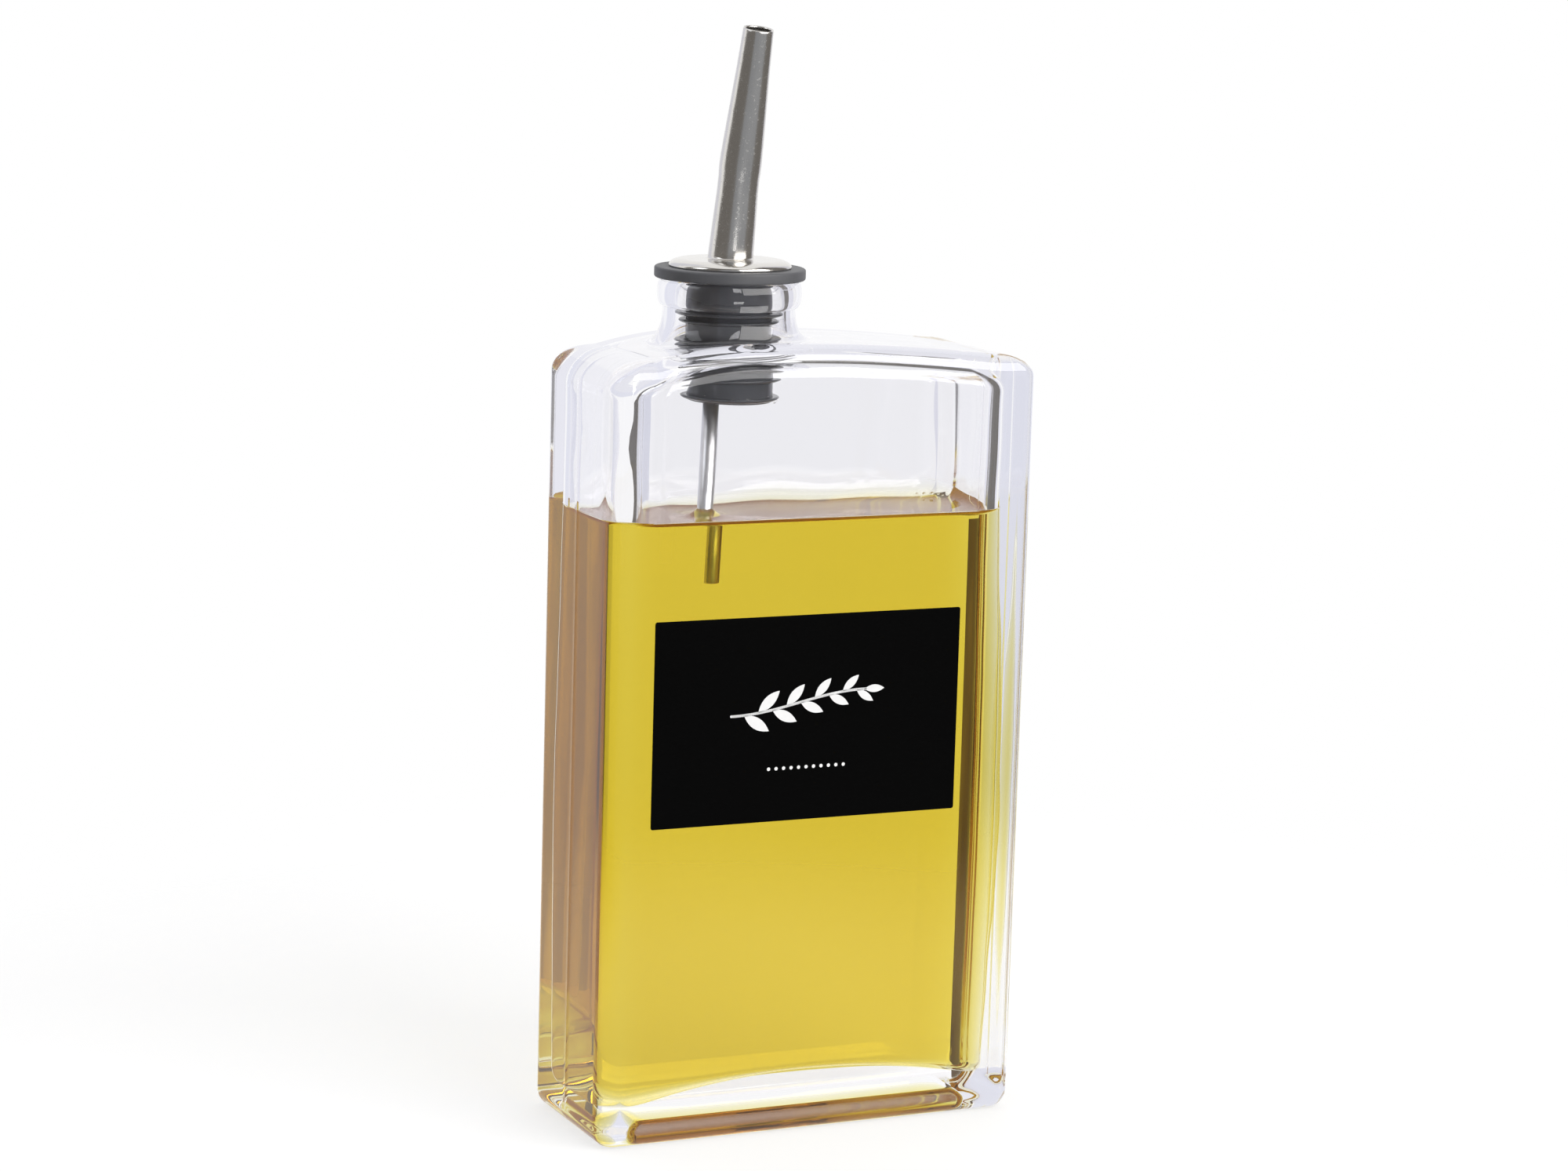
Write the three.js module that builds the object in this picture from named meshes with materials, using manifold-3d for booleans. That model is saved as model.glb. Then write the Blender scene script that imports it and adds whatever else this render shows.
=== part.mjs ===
// Oil dispenser: a flat glass bottle part filled with oil, closed by a ribbed rubber stopper
// that carries a steel pouring spout and an air tube. A plain black label sits on the front.
// Millimetres, +Z up, the front faces -Y, and the origin is at the bottom centre of the bottle.
import * as THREE from "three";
import { mergeVertices } from "three/addons/utils/BufferGeometryUtils.js";
import Module from "manifold-3d";

// The glass body.
const BODY_WIDTH = 101.2;
const BODY_DEPTH = 41;
const CORNER_RADIUS = 4.5;
const BASE_EDGE_RADIUS = 4.2;
const SHOULDER_HEIGHT = 172.5;
const SHOULDER_CROWN = 3.2;
const SHOULDER_END_RADIUS = 10;
const SHOULDER_EDGE_RADIUS = 4;
const SHOULDER_DROP = 7;
const RECESS_INSET = 6.6;
const RECESS_SLOPE = 5;
const RECESS_DEPTH = 4.2;

// The neck, which stands to one side of the middle.
const NECK_X = -16;
const NECK_RADIUS = 14.5;
const NECK_FOOT = 1.8;
const BEAD_RADIUS = 15.8;
const BEAD_BOTTOM = 182.2;
const BOTTLE_TOP = 188.2;
const BEAD_EDGE = BEAD_RADIUS - NECK_RADIUS;
const BORE_RADIUS = 12.1;
const BORE_FOOT = 1.6;
const LIP_CHAMFER = 0.8;

// The hollow inside. The side walls swell and thin along their height.
const FRONT_WALL = 3.5;
const SIDE_WALL = 4.2;
const SIDE_SWELL = 1.5;
const SWELL_HEIGHT = 148;
const SWELL_LENGTH = 156;
const HOLLOW_CORNER = 8.5;
const SHOULDER_WALL = 3.4;
const HOLLOW_END_RADIUS = 8;
const HOLLOW_EDGE_RADIUS = 3;
const HOLLOW_DROP = 6;
const FLOOR_HEIGHT = 7.5;
const FLOOR_RISE = 6.5;
const FLOOR_EDGE_RADIUS = 3.2;
const FLOOR_TILT = 3;
const WALL_ROWS = [22, 36, 52, 70, 88, 104, 120];
const HOLLOW_TOP_ROWS = [136, 152];
const SHOULDER_SECTION = 160;

// The oil, with a slight climb where it wets the wall.
const OIL_LEVEL = 136.4;
const OIL_CLIMB = 0.8;
const OIL_CLIMB_WIDTH = 2;
const CLEARANCE = 0.3;

// The stopper: a flange on the lip and a plug with thin sealing fins.
const FLANGE_RADIUS = 16.5;
const FLANGE_TOP = 190.7;
const FLANGE_EDGE = 0.5;
const PLUG_RADIUS = 9.4;
const PLUG_BOTTOM = 161.7;
const FIN_ROOT = 0.75;
const FIN_TIP = 0.35;
const FINS = [
  { height: 180.8, radius: 11.8 },
  { height: 178.9, radius: 11.0 },
  { height: 173.4, radius: 11.8 },
  { height: 170.5, radius: 11.8 },
  { height: 166.7, radius: 11.3 },
  { height: PLUG_BOTTOM + FIN_ROOT, radius: 10.9 },
];
const CHANNEL_OFFSET = 2;
const CHANNEL_RADIUS = 1.6;

// The steel collar, a low dish with a rounded edge, and the bent, tapered spout, which leans to the
// front and a little to the right.
const COLLAR_RADIUS = 13.4;
const COLLAR_RIM = 0.2;
const COLLAR_RISE = 1.8;
const COLLAR_EDGE = 3.4;
const COLLAR_HOLE = 5.3;
const SPOUT_RADIUS = 4.95;
const SPOUT_BEND_RADIUS = 4.5;
const SPOUT_TIP_RADIUS = 3.3;
const SPOUT_TIP_EDGE = 0.25;
const SPOUT_BORE = 2.6;
const SPOUT_BEND = 213;
const SPOUT_TOP = 242.4;
const SPOUT_TURN = THREE.MathUtils.degToRad(13.4);
const LEAN_LOW = THREE.MathUtils.degToRad(7.4);
const LEAN_HIGH = THREE.MathUtils.degToRad(9.9);

// The air tube, which hangs from the plug into the oil.
const TUBE_X = -20;
const TUBE_RADIUS = 1.75;
const TUBE_BORE = 1.2;
const TUBE_BOTTOM = 122.5;
const TUBE_TOP = 170;

// The label, on the flat front face.
const LABEL_WIDTH = 73;
const LABEL_HEIGHT = 45.5;
const LABEL_THICKNESS = 0.2;
const LABEL_X = -3.85;
const LABEL_Z = 94.2;

// Points on a quarter of every ring: half a side wall, a corner and half a wide face.
const LEAST_CORNER = 2;
const SIDE_STEPS = 1;
const CORNER_STEPS = 6;
const FACE_STEPS = 5;
const QUARTER_STEPS = SIDE_STEPS + CORNER_STEPS + FACE_STEPS;
const RING_POINTS = 4 * QUARTER_STEPS;
const ARC_STEPS = 4;
const SHOULDER_ROWS = 4;
const FOOT_ROWS = 3;
const FLOOR_ROWS = 3;
const OIL_CLIMB_ROWS = 3;
const COLLAR_ROWS = 6;
const SPOUT_POINTS = 32;
const HOLE_SEGMENTS = 24;
const OVERCUT = 2;
const LATHE_SEGMENTS = 40;

const wasm = await Module();
wasm.setup();

// A number between two others.
const mix = (from, to, part) => from + (to - from) * part;

// Evenly spaced parts of the way from 0 to 1, with both ends.
const parts = (steps) => Array.from({ length: steps + 1 }, (unused, step) => step / steps);

// One quarter of a rounded rectangle, from the middle of its right side to the middle of its back.
function quarterOutline(halfWidth, halfDepth, radius) {
  const points = [];
  for (let step = 0; step < SIDE_STEPS; step += 1) {
    points.push([halfWidth, ((halfDepth - radius) * step) / SIDE_STEPS]);
  }
  for (let step = 0; step <= CORNER_STEPS; step += 1) {
    const angle = ((Math.PI / 2) * step) / CORNER_STEPS;
    points.push([
      halfWidth - radius + radius * Math.cos(angle),
      halfDepth - radius + radius * Math.sin(angle),
    ]);
  }
  for (let step = 1; step < FACE_STEPS; step += 1) {
    points.push([(halfWidth - radius) * (1 - step / FACE_STEPS), halfDepth]);
  }
  return points;
}

// A whole rounded rectangle, counter-clockwise from above.
function rectangleOutline(halfWidth, halfDepth, radius) {
  const quarter = quarterOutline(halfWidth, halfDepth, radius);
  const backMiddle = [0, halfDepth];
  const half = [...quarter, backMiddle];
  const mirrored = quarter.slice(1).reverse().map(([x, y]) => [-x, y]);
  half.push(...mirrored);
  const front = half.map(([x, y]) => [-x, -y]);
  return [...half, ...front];
}

// A circle about the neck with the same number of points.
function circleOutline(radius) {
  return Array.from({ length: RING_POINTS }, (unused, index) => {
    const angle = (2 * Math.PI * index) / RING_POINTS;
    return [NECK_X + radius * Math.cos(angle), radius * Math.sin(angle)];
  });
}

// A ring of points at a height, which may depend on the place.
function ring(outline, height) {
  return outline.map(([x, y]) => {
    const z = typeof height === "function" ? height(x, y) : height;
    return new THREE.Vector3(x, y, z);
  });
}

// A closed skin over rings. A ring of one point is a pole; without poles the last ring meets the first.
function skin(rings) {
  const positions = [];
  const starts = [];
  for (const points of rings) {
    starts.push(positions.length / 3);
    for (const point of points) {
      positions.push(point.x, point.y, point.z);
    }
  }
  const indices = [];
  const addTriangle = (a, b, c) => {
    if (a !== b && b !== c && c !== a) {
      indices.push(a, b, c);
    }
  };
  const looped = rings[0].length > 1;
  const bands = looped ? rings.length : rings.length - 1;
  const around = Math.max(...rings.map((points) => points.length));
  for (let band = 0; band < bands; band += 1) {
    const above = (band + 1) % rings.length;
    const at = (row, index) => starts[row] + (rings[row].length === 1 ? 0 : index % around);
    for (let index = 0; index < around; index += 1) {
      const next = index + 1;
      addTriangle(at(band, index), at(band, next), at(above, next));
      addTriangle(at(band, index), at(above, next), at(above, index));
    }
  }
  const geometry = new THREE.BufferGeometry();
  geometry.setAttribute("position", new THREE.Float32BufferAttribute(positions, 3));
  geometry.setIndex(indices);
  return geometry;
}

// Height of the shoulder, which rises from both ends to the neck.
function shoulderHeight(x) {
  const end = BODY_WIDTH / 2 - SHOULDER_END_RADIUS;
  const reach = x < NECK_X ? end + NECK_X : end - NECK_X;
  const away = Math.min(1, Math.abs(x - NECK_X) / reach);
  return SHOULDER_HEIGHT + SHOULDER_CROWN * (1 - away * away);
}

// Outside of the bottle, from the middle of its underside to the top of its lip.
function outsideRings() {
  const halfWidth = BODY_WIDTH / 2;
  const halfDepth = BODY_DEPTH / 2;
  const inset = (amount, height) => {
    const radius = Math.max(CORNER_RADIUS - amount, LEAST_CORNER);
    return ring(rectangleOutline(halfWidth - amount, halfDepth - amount, radius), height);
  };
  const rings = [
    [new THREE.Vector3(0, 0, RECESS_DEPTH)],
    inset(RECESS_INSET + RECESS_SLOPE, RECESS_DEPTH),
    inset(RECESS_INSET, 0),
  ];
  for (const part of parts(ARC_STEPS)) {
    const angle = (Math.PI / 2) * part;
    rings.push(inset(BASE_EDGE_RADIUS * (1 - Math.sin(angle)), BASE_EDGE_RADIUS * (1 - Math.cos(angle))));
  }
  for (const part of parts(ARC_STEPS)) {
    const angle = (Math.PI / 2) * part;
    const endInset = SHOULDER_END_RADIUS * (1 - Math.cos(angle));
    const edgeInset = SHOULDER_EDGE_RADIUS * (1 - Math.cos(angle));
    const drop = SHOULDER_DROP * (1 - Math.sin(angle));
    const outline = rectangleOutline(halfWidth - endInset, halfDepth - edgeInset, CORNER_RADIUS - edgeInset);
    rings.push(ring(outline, (x) => shoulderHeight(x) - drop));
  }
  const edge = rectangleOutline(
    halfWidth - SHOULDER_END_RADIUS,
    halfDepth - SHOULDER_EDGE_RADIUS,
    CORNER_RADIUS - SHOULDER_EDGE_RADIUS,
  );
  rings.push(...shoulderRows(edge, NECK_RADIUS + NECK_FOOT, shoulderHeight));
  rings.push(...footRows(NECK_RADIUS, NECK_FOOT, shoulderHeight));
  for (const part of parts(ARC_STEPS)) {
    const angle = (Math.PI / 2) * part;
    const radius = NECK_RADIUS + BEAD_EDGE * Math.sin(angle);
    rings.push(ring(circleOutline(radius), BEAD_BOTTOM + BEAD_EDGE * (1 - Math.cos(angle))));
  }
  for (const part of parts(ARC_STEPS)) {
    const angle = (Math.PI / 2) * part;
    const radius = NECK_RADIUS + BEAD_EDGE * Math.cos(angle);
    rings.push(ring(circleOutline(radius), BOTTLE_TOP - BEAD_EDGE * (1 - Math.sin(angle))));
  }
  return rings;
}

// Rows that lead from the edge of the shoulder in to the foot of the neck.
function shoulderRows(edge, footRadius, height) {
  const foot = circleOutline(footRadius);
  return parts(SHOULDER_ROWS).slice(1).map((part) => {
    const outline = edge.map(([x, y], index) => [mix(x, foot[index][0], part), mix(y, foot[index][1], part)]);
    return ring(outline, height);
  });
}

// Rows that turn from the shoulder up into a round wall of the neck.
function footRows(radius, foot, height) {
  const top = height(NECK_X) + foot;
  return parts(FOOT_ROWS).slice(1).map((part) => {
    const angle = (Math.PI / 2) * part;
    const outline = circleOutline(radius + foot * (1 - Math.sin(angle)));
    return ring(outline, (x) => mix(height(x), top, 1 - Math.cos(angle)));
  });
}

// Half the width of the hollow at a height.
function hollowHalfWidth(height) {
  const swell = SIDE_SWELL * Math.cos((2 * Math.PI * (height - SWELL_HEIGHT)) / SWELL_LENGTH);
  return BODY_WIDTH / 2 - SIDE_WALL - swell;
}

// Height of the arched floor of the hollow, which falls a little to the back.
function floorHeight(x, y) {
  const across = x / (BODY_WIDTH / 2 - SIDE_WALL);
  const deep = y / (BODY_DEPTH / 2 - FRONT_WALL);
  return FLOOR_HEIGHT + FLOOR_RISE * Math.max(0, 1 - across * across) - (FLOOR_TILT * (1 + deep)) / 2;
}

// A level section through the hollow, drawn in by a clearance.
function hollowOutline(height, clearance, inset = 0) {
  return rectangleOutline(
    hollowHalfWidth(height) - clearance - inset,
    BODY_DEPTH / 2 - FRONT_WALL - clearance - inset,
    Math.max(HOLLOW_CORNER - clearance - inset, LEAST_CORNER),
  );
}

// Floor and walls of the hollow, from the middle of the floor up to a list of heights.
function hollowRings(heights, clearance) {
  const rings = [[new THREE.Vector3(0, 0, floorHeight(0, 0) + clearance)]];
  const floor = (x, y) => floorHeight(x, y) + clearance;
  const edge = hollowOutline(FLOOR_HEIGHT, clearance, FLOOR_EDGE_RADIUS);
  for (const part of parts(FLOOR_ROWS).slice(1, -1)) {
    rings.push(ring(edge.map(([x, y]) => [x * part, y * part]), floor));
  }
  for (const part of parts(ARC_STEPS)) {
    const angle = (Math.PI / 2) * part;
    const inset = FLOOR_EDGE_RADIUS * (1 - Math.sin(angle));
    const lift = FLOOR_EDGE_RADIUS * (1 - Math.cos(angle));
    rings.push(ring(hollowOutline(FLOOR_HEIGHT, clearance, inset), (x, y) => floor(x, y) + lift));
  }
  for (const height of heights) {
    rings.push(ring(hollowOutline(height, clearance), height));
  }
  return rings;
}

// Inside of the bottle, from the middle of its floor to the top of its bore.
function insideRings() {
  const rings = hollowRings([...WALL_ROWS, ...HOLLOW_TOP_ROWS], 0);
  const halfWidth = hollowHalfWidth(SHOULDER_SECTION);
  const halfDepth = BODY_DEPTH / 2 - FRONT_WALL;
  const under = (x) => shoulderHeight(x) - SHOULDER_WALL;
  for (const part of parts(ARC_STEPS)) {
    const angle = (Math.PI / 2) * part;
    const endInset = HOLLOW_END_RADIUS * (1 - Math.cos(angle));
    const edgeInset = HOLLOW_EDGE_RADIUS * (1 - Math.cos(angle));
    const drop = HOLLOW_DROP * (1 - Math.sin(angle));
    const outline = rectangleOutline(halfWidth - endInset, halfDepth - edgeInset, HOLLOW_CORNER - edgeInset);
    rings.push(ring(outline, (x) => under(x) - drop));
  }
  const edge = rectangleOutline(
    halfWidth - HOLLOW_END_RADIUS,
    halfDepth - HOLLOW_EDGE_RADIUS,
    HOLLOW_CORNER - HOLLOW_EDGE_RADIUS,
  );
  rings.push(...shoulderRows(edge, BORE_RADIUS + BORE_FOOT, under));
  rings.push(...footRows(BORE_RADIUS, BORE_FOOT, under));
  rings.push(ring(circleOutline(BORE_RADIUS), BOTTLE_TOP - LIP_CHAMFER));
  rings.push(ring(circleOutline(BORE_RADIUS + LIP_CHAMFER), BOTTLE_TOP));
  return rings;
}

// A solid for joining and cutting, with shared corners and no empty triangles.
function toSolid(geometry) {
  const bare = new THREE.BufferGeometry();
  bare.setAttribute("position", geometry.attributes.position);
  bare.setIndex(geometry.index);
  const merged = mergeVertices(bare);
  const index = merged.index.array;
  const triangles = [];
  for (let corner = 0; corner < index.length; corner += 3) {
    const [a, b, c] = index.slice(corner, corner + 3);
    if (a !== b && b !== c && c !== a) {
      triangles.push(a, b, c);
    }
  }
  return new wasm.Manifold(new wasm.Mesh({
    numProp: 3,
    vertProperties: new Float32Array(merged.attributes.position.array),
    triVerts: new Uint32Array(triangles),
  }));
}

// A geometry from a solid.
function toGeometry(solid) {
  const mesh = solid.getMesh();
  const geometry = new THREE.BufferGeometry();
  geometry.setAttribute("position", new THREE.Float32BufferAttribute(mesh.vertProperties, 3));
  geometry.setIndex(Array.from(mesh.triVerts));
  return geometry;
}

// An upright cylinder for cutting.
function upright(x, radius, bottom, top) {
  const geometry = new THREE.CylinderGeometry(radius, radius, top - bottom, HOLE_SEGMENTS);
  geometry.rotateX(Math.PI / 2);
  geometry.translate(x, 0, (bottom + top) / 2);
  return toSolid(geometry);
}

// A turned shape about the upright axis, from a profile of [radius, height] pairs that goes up its
// outside and starts and ends on the axis, or closes on itself.
function turned(profile, segments) {
  const points = profile.map(([radius, height]) => new THREE.Vector2(radius, height));
  const geometry = new THREE.LatheGeometry(points, segments);
  geometry.rotateX(Math.PI / 2);
  return geometry;
}

// Glass: the outside up to the lip, then the inside back down to the floor.
function bottleGeometry() {
  return skin([...outsideRings(), ...insideRings().reverse()]);
}

// Oil: it fills the hollow to its level, round the air tube.
function oilGeometry() {
  const rings = hollowRings(WALL_ROWS, CLEARANCE);
  for (const part of parts(OIL_CLIMB_ROWS)) {
    const height = OIL_LEVEL + OIL_CLIMB * (1 - part) ** 2;
    rings.push(ring(hollowOutline(OIL_LEVEL, CLEARANCE, OIL_CLIMB_WIDTH * part), height));
  }
  rings.push([new THREE.Vector3(0, 0, OIL_LEVEL)]);
  const hole = upright(TUBE_X, TUBE_RADIUS + CLEARANCE, TUBE_BOTTOM - CLEARANCE, OIL_LEVEL + OVERCUT);
  return toGeometry(toSolid(skin(rings)).subtract(hole));
}

// Stopper: the finned plug and the flange, with a pouring channel and a socket for the tube. It is
// turned about the neck's axis.
function stopperGeometry() {
  const profile = [[0, PLUG_BOTTOM]];
  for (const { height, radius } of [...FINS].reverse()) {
    profile.push([PLUG_RADIUS, height - FIN_ROOT]);
    profile.push([radius, height - FIN_TIP]);
    profile.push([radius, height + FIN_TIP]);
    profile.push([PLUG_RADIUS, height + FIN_ROOT]);
  }
  profile.push([PLUG_RADIUS, BOTTLE_TOP]);
  profile.push([FLANGE_RADIUS - FLANGE_EDGE, BOTTLE_TOP]);
  profile.push([FLANGE_RADIUS, BOTTLE_TOP + FLANGE_EDGE]);
  profile.push([FLANGE_RADIUS, FLANGE_TOP - FLANGE_EDGE]);
  profile.push([FLANGE_RADIUS - FLANGE_EDGE, FLANGE_TOP]);
  profile.push([0, FLANGE_TOP]);
  const below = PLUG_BOTTOM - OVERCUT;
  const socket = upright(TUBE_X - NECK_X, TUBE_RADIUS + CLEARANCE, below, TUBE_TOP + CLEARANCE);
  const channel = upright(CHANNEL_OFFSET, CHANNEL_RADIUS, below, FLANGE_TOP + OVERCUT);
  const plug = toSolid(turned(profile, LATHE_SEGMENTS));
  return toGeometry(plug.subtract(socket).subtract(channel));
}

// Collar: a flat washer with a rounded outer edge, on top of the flange.
function collarGeometry() {
  const profile = [[COLLAR_RADIUS, FLANGE_TOP]];
  for (const part of parts(COLLAR_ROWS)) {
    const angle = (Math.PI / 2) * part;
    const radius = COLLAR_RADIUS - COLLAR_EDGE * (1 - Math.cos(angle));
    profile.push([radius, FLANGE_TOP + mix(COLLAR_RIM, COLLAR_RISE, Math.sin(angle))]);
  }
  const top = FLANGE_TOP + COLLAR_RISE;
  profile.push([COLLAR_HOLE, top], [COLLAR_HOLE, FLANGE_TOP], [COLLAR_RADIUS, FLANGE_TOP]);
  return turned(profile, LATHE_SEGMENTS);
}

// Middle line of the spout: upright in the collar, then leaning to the front, more so above the bend.
function spoutPath() {
  const foot = new THREE.Vector3(0, 0, FLANGE_TOP);
  const collarTop = new THREE.Vector3(0, 0, FLANGE_TOP + COLLAR_RISE);
  const lowRun = SPOUT_BEND - collarTop.z;
  const highRun = SPOUT_TOP - SPOUT_BEND;
  const bend = new THREE.Vector3(0, -lowRun * Math.tan(LEAN_LOW), SPOUT_BEND);
  const tip = new THREE.Vector3(0, bend.y - highRun * Math.tan(LEAN_HIGH), SPOUT_TOP);
  return { foot, collarTop, bend, tip };
}

// A ring about a point on the middle line, square to its lean.
function spoutRing(centre, lean, radius) {
  const along = new THREE.Vector3(0, Math.cos(lean), Math.sin(lean));
  return Array.from({ length: SPOUT_POINTS }, (unused, index) => {
    const angle = (2 * Math.PI * index) / SPOUT_POINTS;
    const point = centre.clone().addScaledVector(along, radius * Math.sin(angle));
    point.x += radius * Math.cos(angle);
    return point;
  });
}

// Spout: an open tube that tapers slightly to the bend and more above it.
function spoutGeometry() {
  const { foot, collarTop, bend, tip } = spoutPath();
  const low = (part) => collarTop.clone().lerp(bend, part);
  const high = (part) => bend.clone().lerp(tip, part);
  const stations = [
    { centre: foot, lean: 0, radius: SPOUT_RADIUS },
    { centre: foot.clone().lerp(collarTop, 0.8), lean: 0, radius: SPOUT_RADIUS },
    { centre: low(0.03), lean: LEAN_LOW / 2, radius: SPOUT_RADIUS },
    { centre: low(0.12), lean: LEAN_LOW, radius: mix(SPOUT_RADIUS, SPOUT_BEND_RADIUS, 0.12) },
    { centre: low(0.9), lean: LEAN_LOW, radius: mix(SPOUT_RADIUS, SPOUT_BEND_RADIUS, 0.9) },
    { centre: bend, lean: (LEAN_LOW + LEAN_HIGH) / 2, radius: SPOUT_BEND_RADIUS },
  ];
  for (const part of [0.06, 0.35, 0.7, 0.97]) {
    const radius = mix(SPOUT_BEND_RADIUS, SPOUT_TIP_RADIUS, part);
    stations.push({ centre: high(part), lean: LEAN_HIGH, radius });
  }
  stations.push({ centre: tip, lean: LEAN_HIGH, radius: SPOUT_TIP_RADIUS - SPOUT_TIP_EDGE });
  const outside = stations.map(({ centre, lean, radius }) => spoutRing(centre, lean, radius));
  const inside = stations.map(({ centre, lean }) => spoutRing(centre, lean, SPOUT_BORE));
  return skin([...outside, ...inside.reverse()]).rotateZ(SPOUT_TURN);
}

// Air tube: a thin open pipe.
function tubeGeometry() {
  const profile = [
    [TUBE_RADIUS, TUBE_BOTTOM],
    [TUBE_RADIUS, TUBE_TOP],
    [TUBE_BORE, TUBE_TOP],
    [TUBE_BORE, TUBE_BOTTOM],
    [TUBE_RADIUS, TUBE_BOTTOM],
  ];
  return turned(profile, HOLE_SEGMENTS);
}

// Label: a thin sheet against the front face.
function labelGeometry() {
  return new THREE.BoxGeometry(LABEL_WIDTH, LABEL_THICKNESS, LABEL_HEIGHT);
}

const glass = new THREE.MeshStandardMaterial({ color: 0xe6ecee, roughness: 0.05 });
const oil = new THREE.MeshStandardMaterial({ color: 0xd6b83c, roughness: 0.1 });
const rubber = new THREE.MeshStandardMaterial({ color: 0x4a4b50, roughness: 0.7 });
const steel = new THREE.MeshStandardMaterial({ color: 0xb9b7b4, roughness: 0.25, metalness: 1 });
const black = new THREE.MeshStandardMaterial({ color: 0x0a0a0a, roughness: 0.5 });

// A named mesh at its place.
function named(name, geometry, material, x = 0, y = 0, z = 0) {
  const mesh = new THREE.Mesh(geometry, material);
  mesh.name = name;
  mesh.position.set(x, y, z);
  return mesh;
}

// The pourer stands on the neck's axis.
const pourer = new THREE.Group();
pourer.position.x = NECK_X;
pourer.add(
  named("stopper", stopperGeometry(), rubber),
  named("collar", collarGeometry(), steel),
  named("spout", spoutGeometry(), steel),
  named("air_tube", tubeGeometry(), steel, TUBE_X - NECK_X),
);

const labelY = -(BODY_DEPTH + LABEL_THICKNESS) / 2;
const dispenser = new THREE.Group();
dispenser.name = "oil_dispenser";
dispenser.add(
  named("bottle", bottleGeometry(), glass),
  named("oil", oilGeometry(), oil),
  pourer,
  named("label", labelGeometry(), black, LABEL_X, labelY, LABEL_Z),
);

export default dispenser;
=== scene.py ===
# %% [markdown]
# # A glass oil dispenser
# The object is a flat glass bottle, most of it filled with golden oil. A ribbed rubber stopper closes the
# neck and carries a steel collar, a bent steel spout and a thin air tube that hangs into the oil.
# The solids of the part are loaded first as a fixed frame. Every piece below is made in that frame, in
# metres, and stands for one of the solids with a finer mesh and a finish of its own.

# %% Load the frame
import math

import bpy
import numpy as np
from mathutils import Matrix, Vector


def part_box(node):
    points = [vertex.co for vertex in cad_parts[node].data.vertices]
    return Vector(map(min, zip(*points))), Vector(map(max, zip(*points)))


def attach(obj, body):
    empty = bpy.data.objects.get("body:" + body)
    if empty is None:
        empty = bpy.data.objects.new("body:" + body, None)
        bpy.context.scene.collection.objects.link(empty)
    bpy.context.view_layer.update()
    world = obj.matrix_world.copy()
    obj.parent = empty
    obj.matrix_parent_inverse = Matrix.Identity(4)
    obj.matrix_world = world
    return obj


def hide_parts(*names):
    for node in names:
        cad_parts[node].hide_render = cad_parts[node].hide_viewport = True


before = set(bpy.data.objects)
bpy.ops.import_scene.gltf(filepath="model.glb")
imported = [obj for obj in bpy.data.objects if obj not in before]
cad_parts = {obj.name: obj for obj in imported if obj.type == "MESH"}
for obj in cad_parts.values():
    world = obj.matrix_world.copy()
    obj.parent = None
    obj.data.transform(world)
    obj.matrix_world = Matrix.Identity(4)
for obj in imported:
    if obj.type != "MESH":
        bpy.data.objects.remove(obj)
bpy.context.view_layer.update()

print("frame nodes:", sorted(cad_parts))

# %% [markdown]
# ## Rings and skins
# Glass shows every flaw of its mesh, because light bends at each face. A skin over many rings of points
# gives full control: each ring is a section of the bottle, and the rows of rings follow its profile.
# Subdivision would round the shapes by a rule of its own, so the rings are worked out directly instead.

# %% Helpers for rings of points
MM = 0.001
SIDE_STEPS = 12
CORNER_STEPS = 18
FACE_STEPS = 26
RING_POINTS = 4 * (SIDE_STEPS + CORNER_STEPS + FACE_STEPS)
CROWDING = 0.9


def mix(start, end, part):
    """A value part of the way from start to end."""
    return start + (end - start) * part


def steps(count):
    """Evenly spaced parts of the way from 0 to 1, with both ends."""
    return np.linspace(0.0, 1.0, count + 1)


def crowded(count):
    """Parts of the way from 0 to 1 that lie close together at both ends."""
    even = steps(count)
    return even - CROWDING * np.sin(2 * np.pi * even) / (2 * np.pi)


def rounded_rectangle(half_width, half_depth, radius):
    """Outline of a rounded rectangle, counter-clockwise from the middle of its +X side."""
    side = (half_depth - radius) * crowded(SIDE_STEPS)
    turn = np.pi / 2 * steps(CORNER_STEPS)
    face = (half_width - radius) * (1 - crowded(FACE_STEPS))
    corner_x = half_width - radius + radius * np.cos(turn)
    corner_y = half_depth - radius + radius * np.sin(turn)
    x = np.concatenate([np.full(SIDE_STEPS, half_width), corner_x, face[1:]])
    y = np.concatenate([side[:-1], corner_y, np.full(FACE_STEPS, half_depth)])
    quarter = np.column_stack([x, y])
    mirrored = quarter[:0:-1] * (-1, 1)
    half = np.concatenate([quarter[:-1], mirrored])
    return np.concatenate([half, -half])


def circle(radius, centre_x, count=RING_POINTS):
    """Outline of a circle about an upright axis."""
    turn = 2 * np.pi * np.arange(count) / count
    return np.column_stack([centre_x + radius * np.cos(turn), radius * np.sin(turn)])


def ring(outline, height):
    """A ring of points: an outline at one height, or at a height for each of its points."""
    return np.column_stack([outline, np.broadcast_to(height, len(outline))])


def skin(rings):
    """Points and faces of a closed skin over rings. A ring of one point is a pole, and without poles
    the last ring joins the first."""
    starts = np.cumsum([0] + [len(points) for points in rings])
    around = max(len(points) for points in rings)
    bands = len(rings) if len(rings[0]) > 1 else len(rings) - 1
    faces = []
    for low in range(bands):
        high = (low + 1) % len(rings)
        for index in range(around):
            following = (index + 1) % around
            corners = [(low, index), (low, following), (high, following), (high, index)]
            face = [int(starts[row]) + (step if len(rings[row]) > 1 else 0) for row, step in corners]
            faces.append(tuple(dict.fromkeys(face)))
    return np.concatenate(rings), faces


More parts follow.
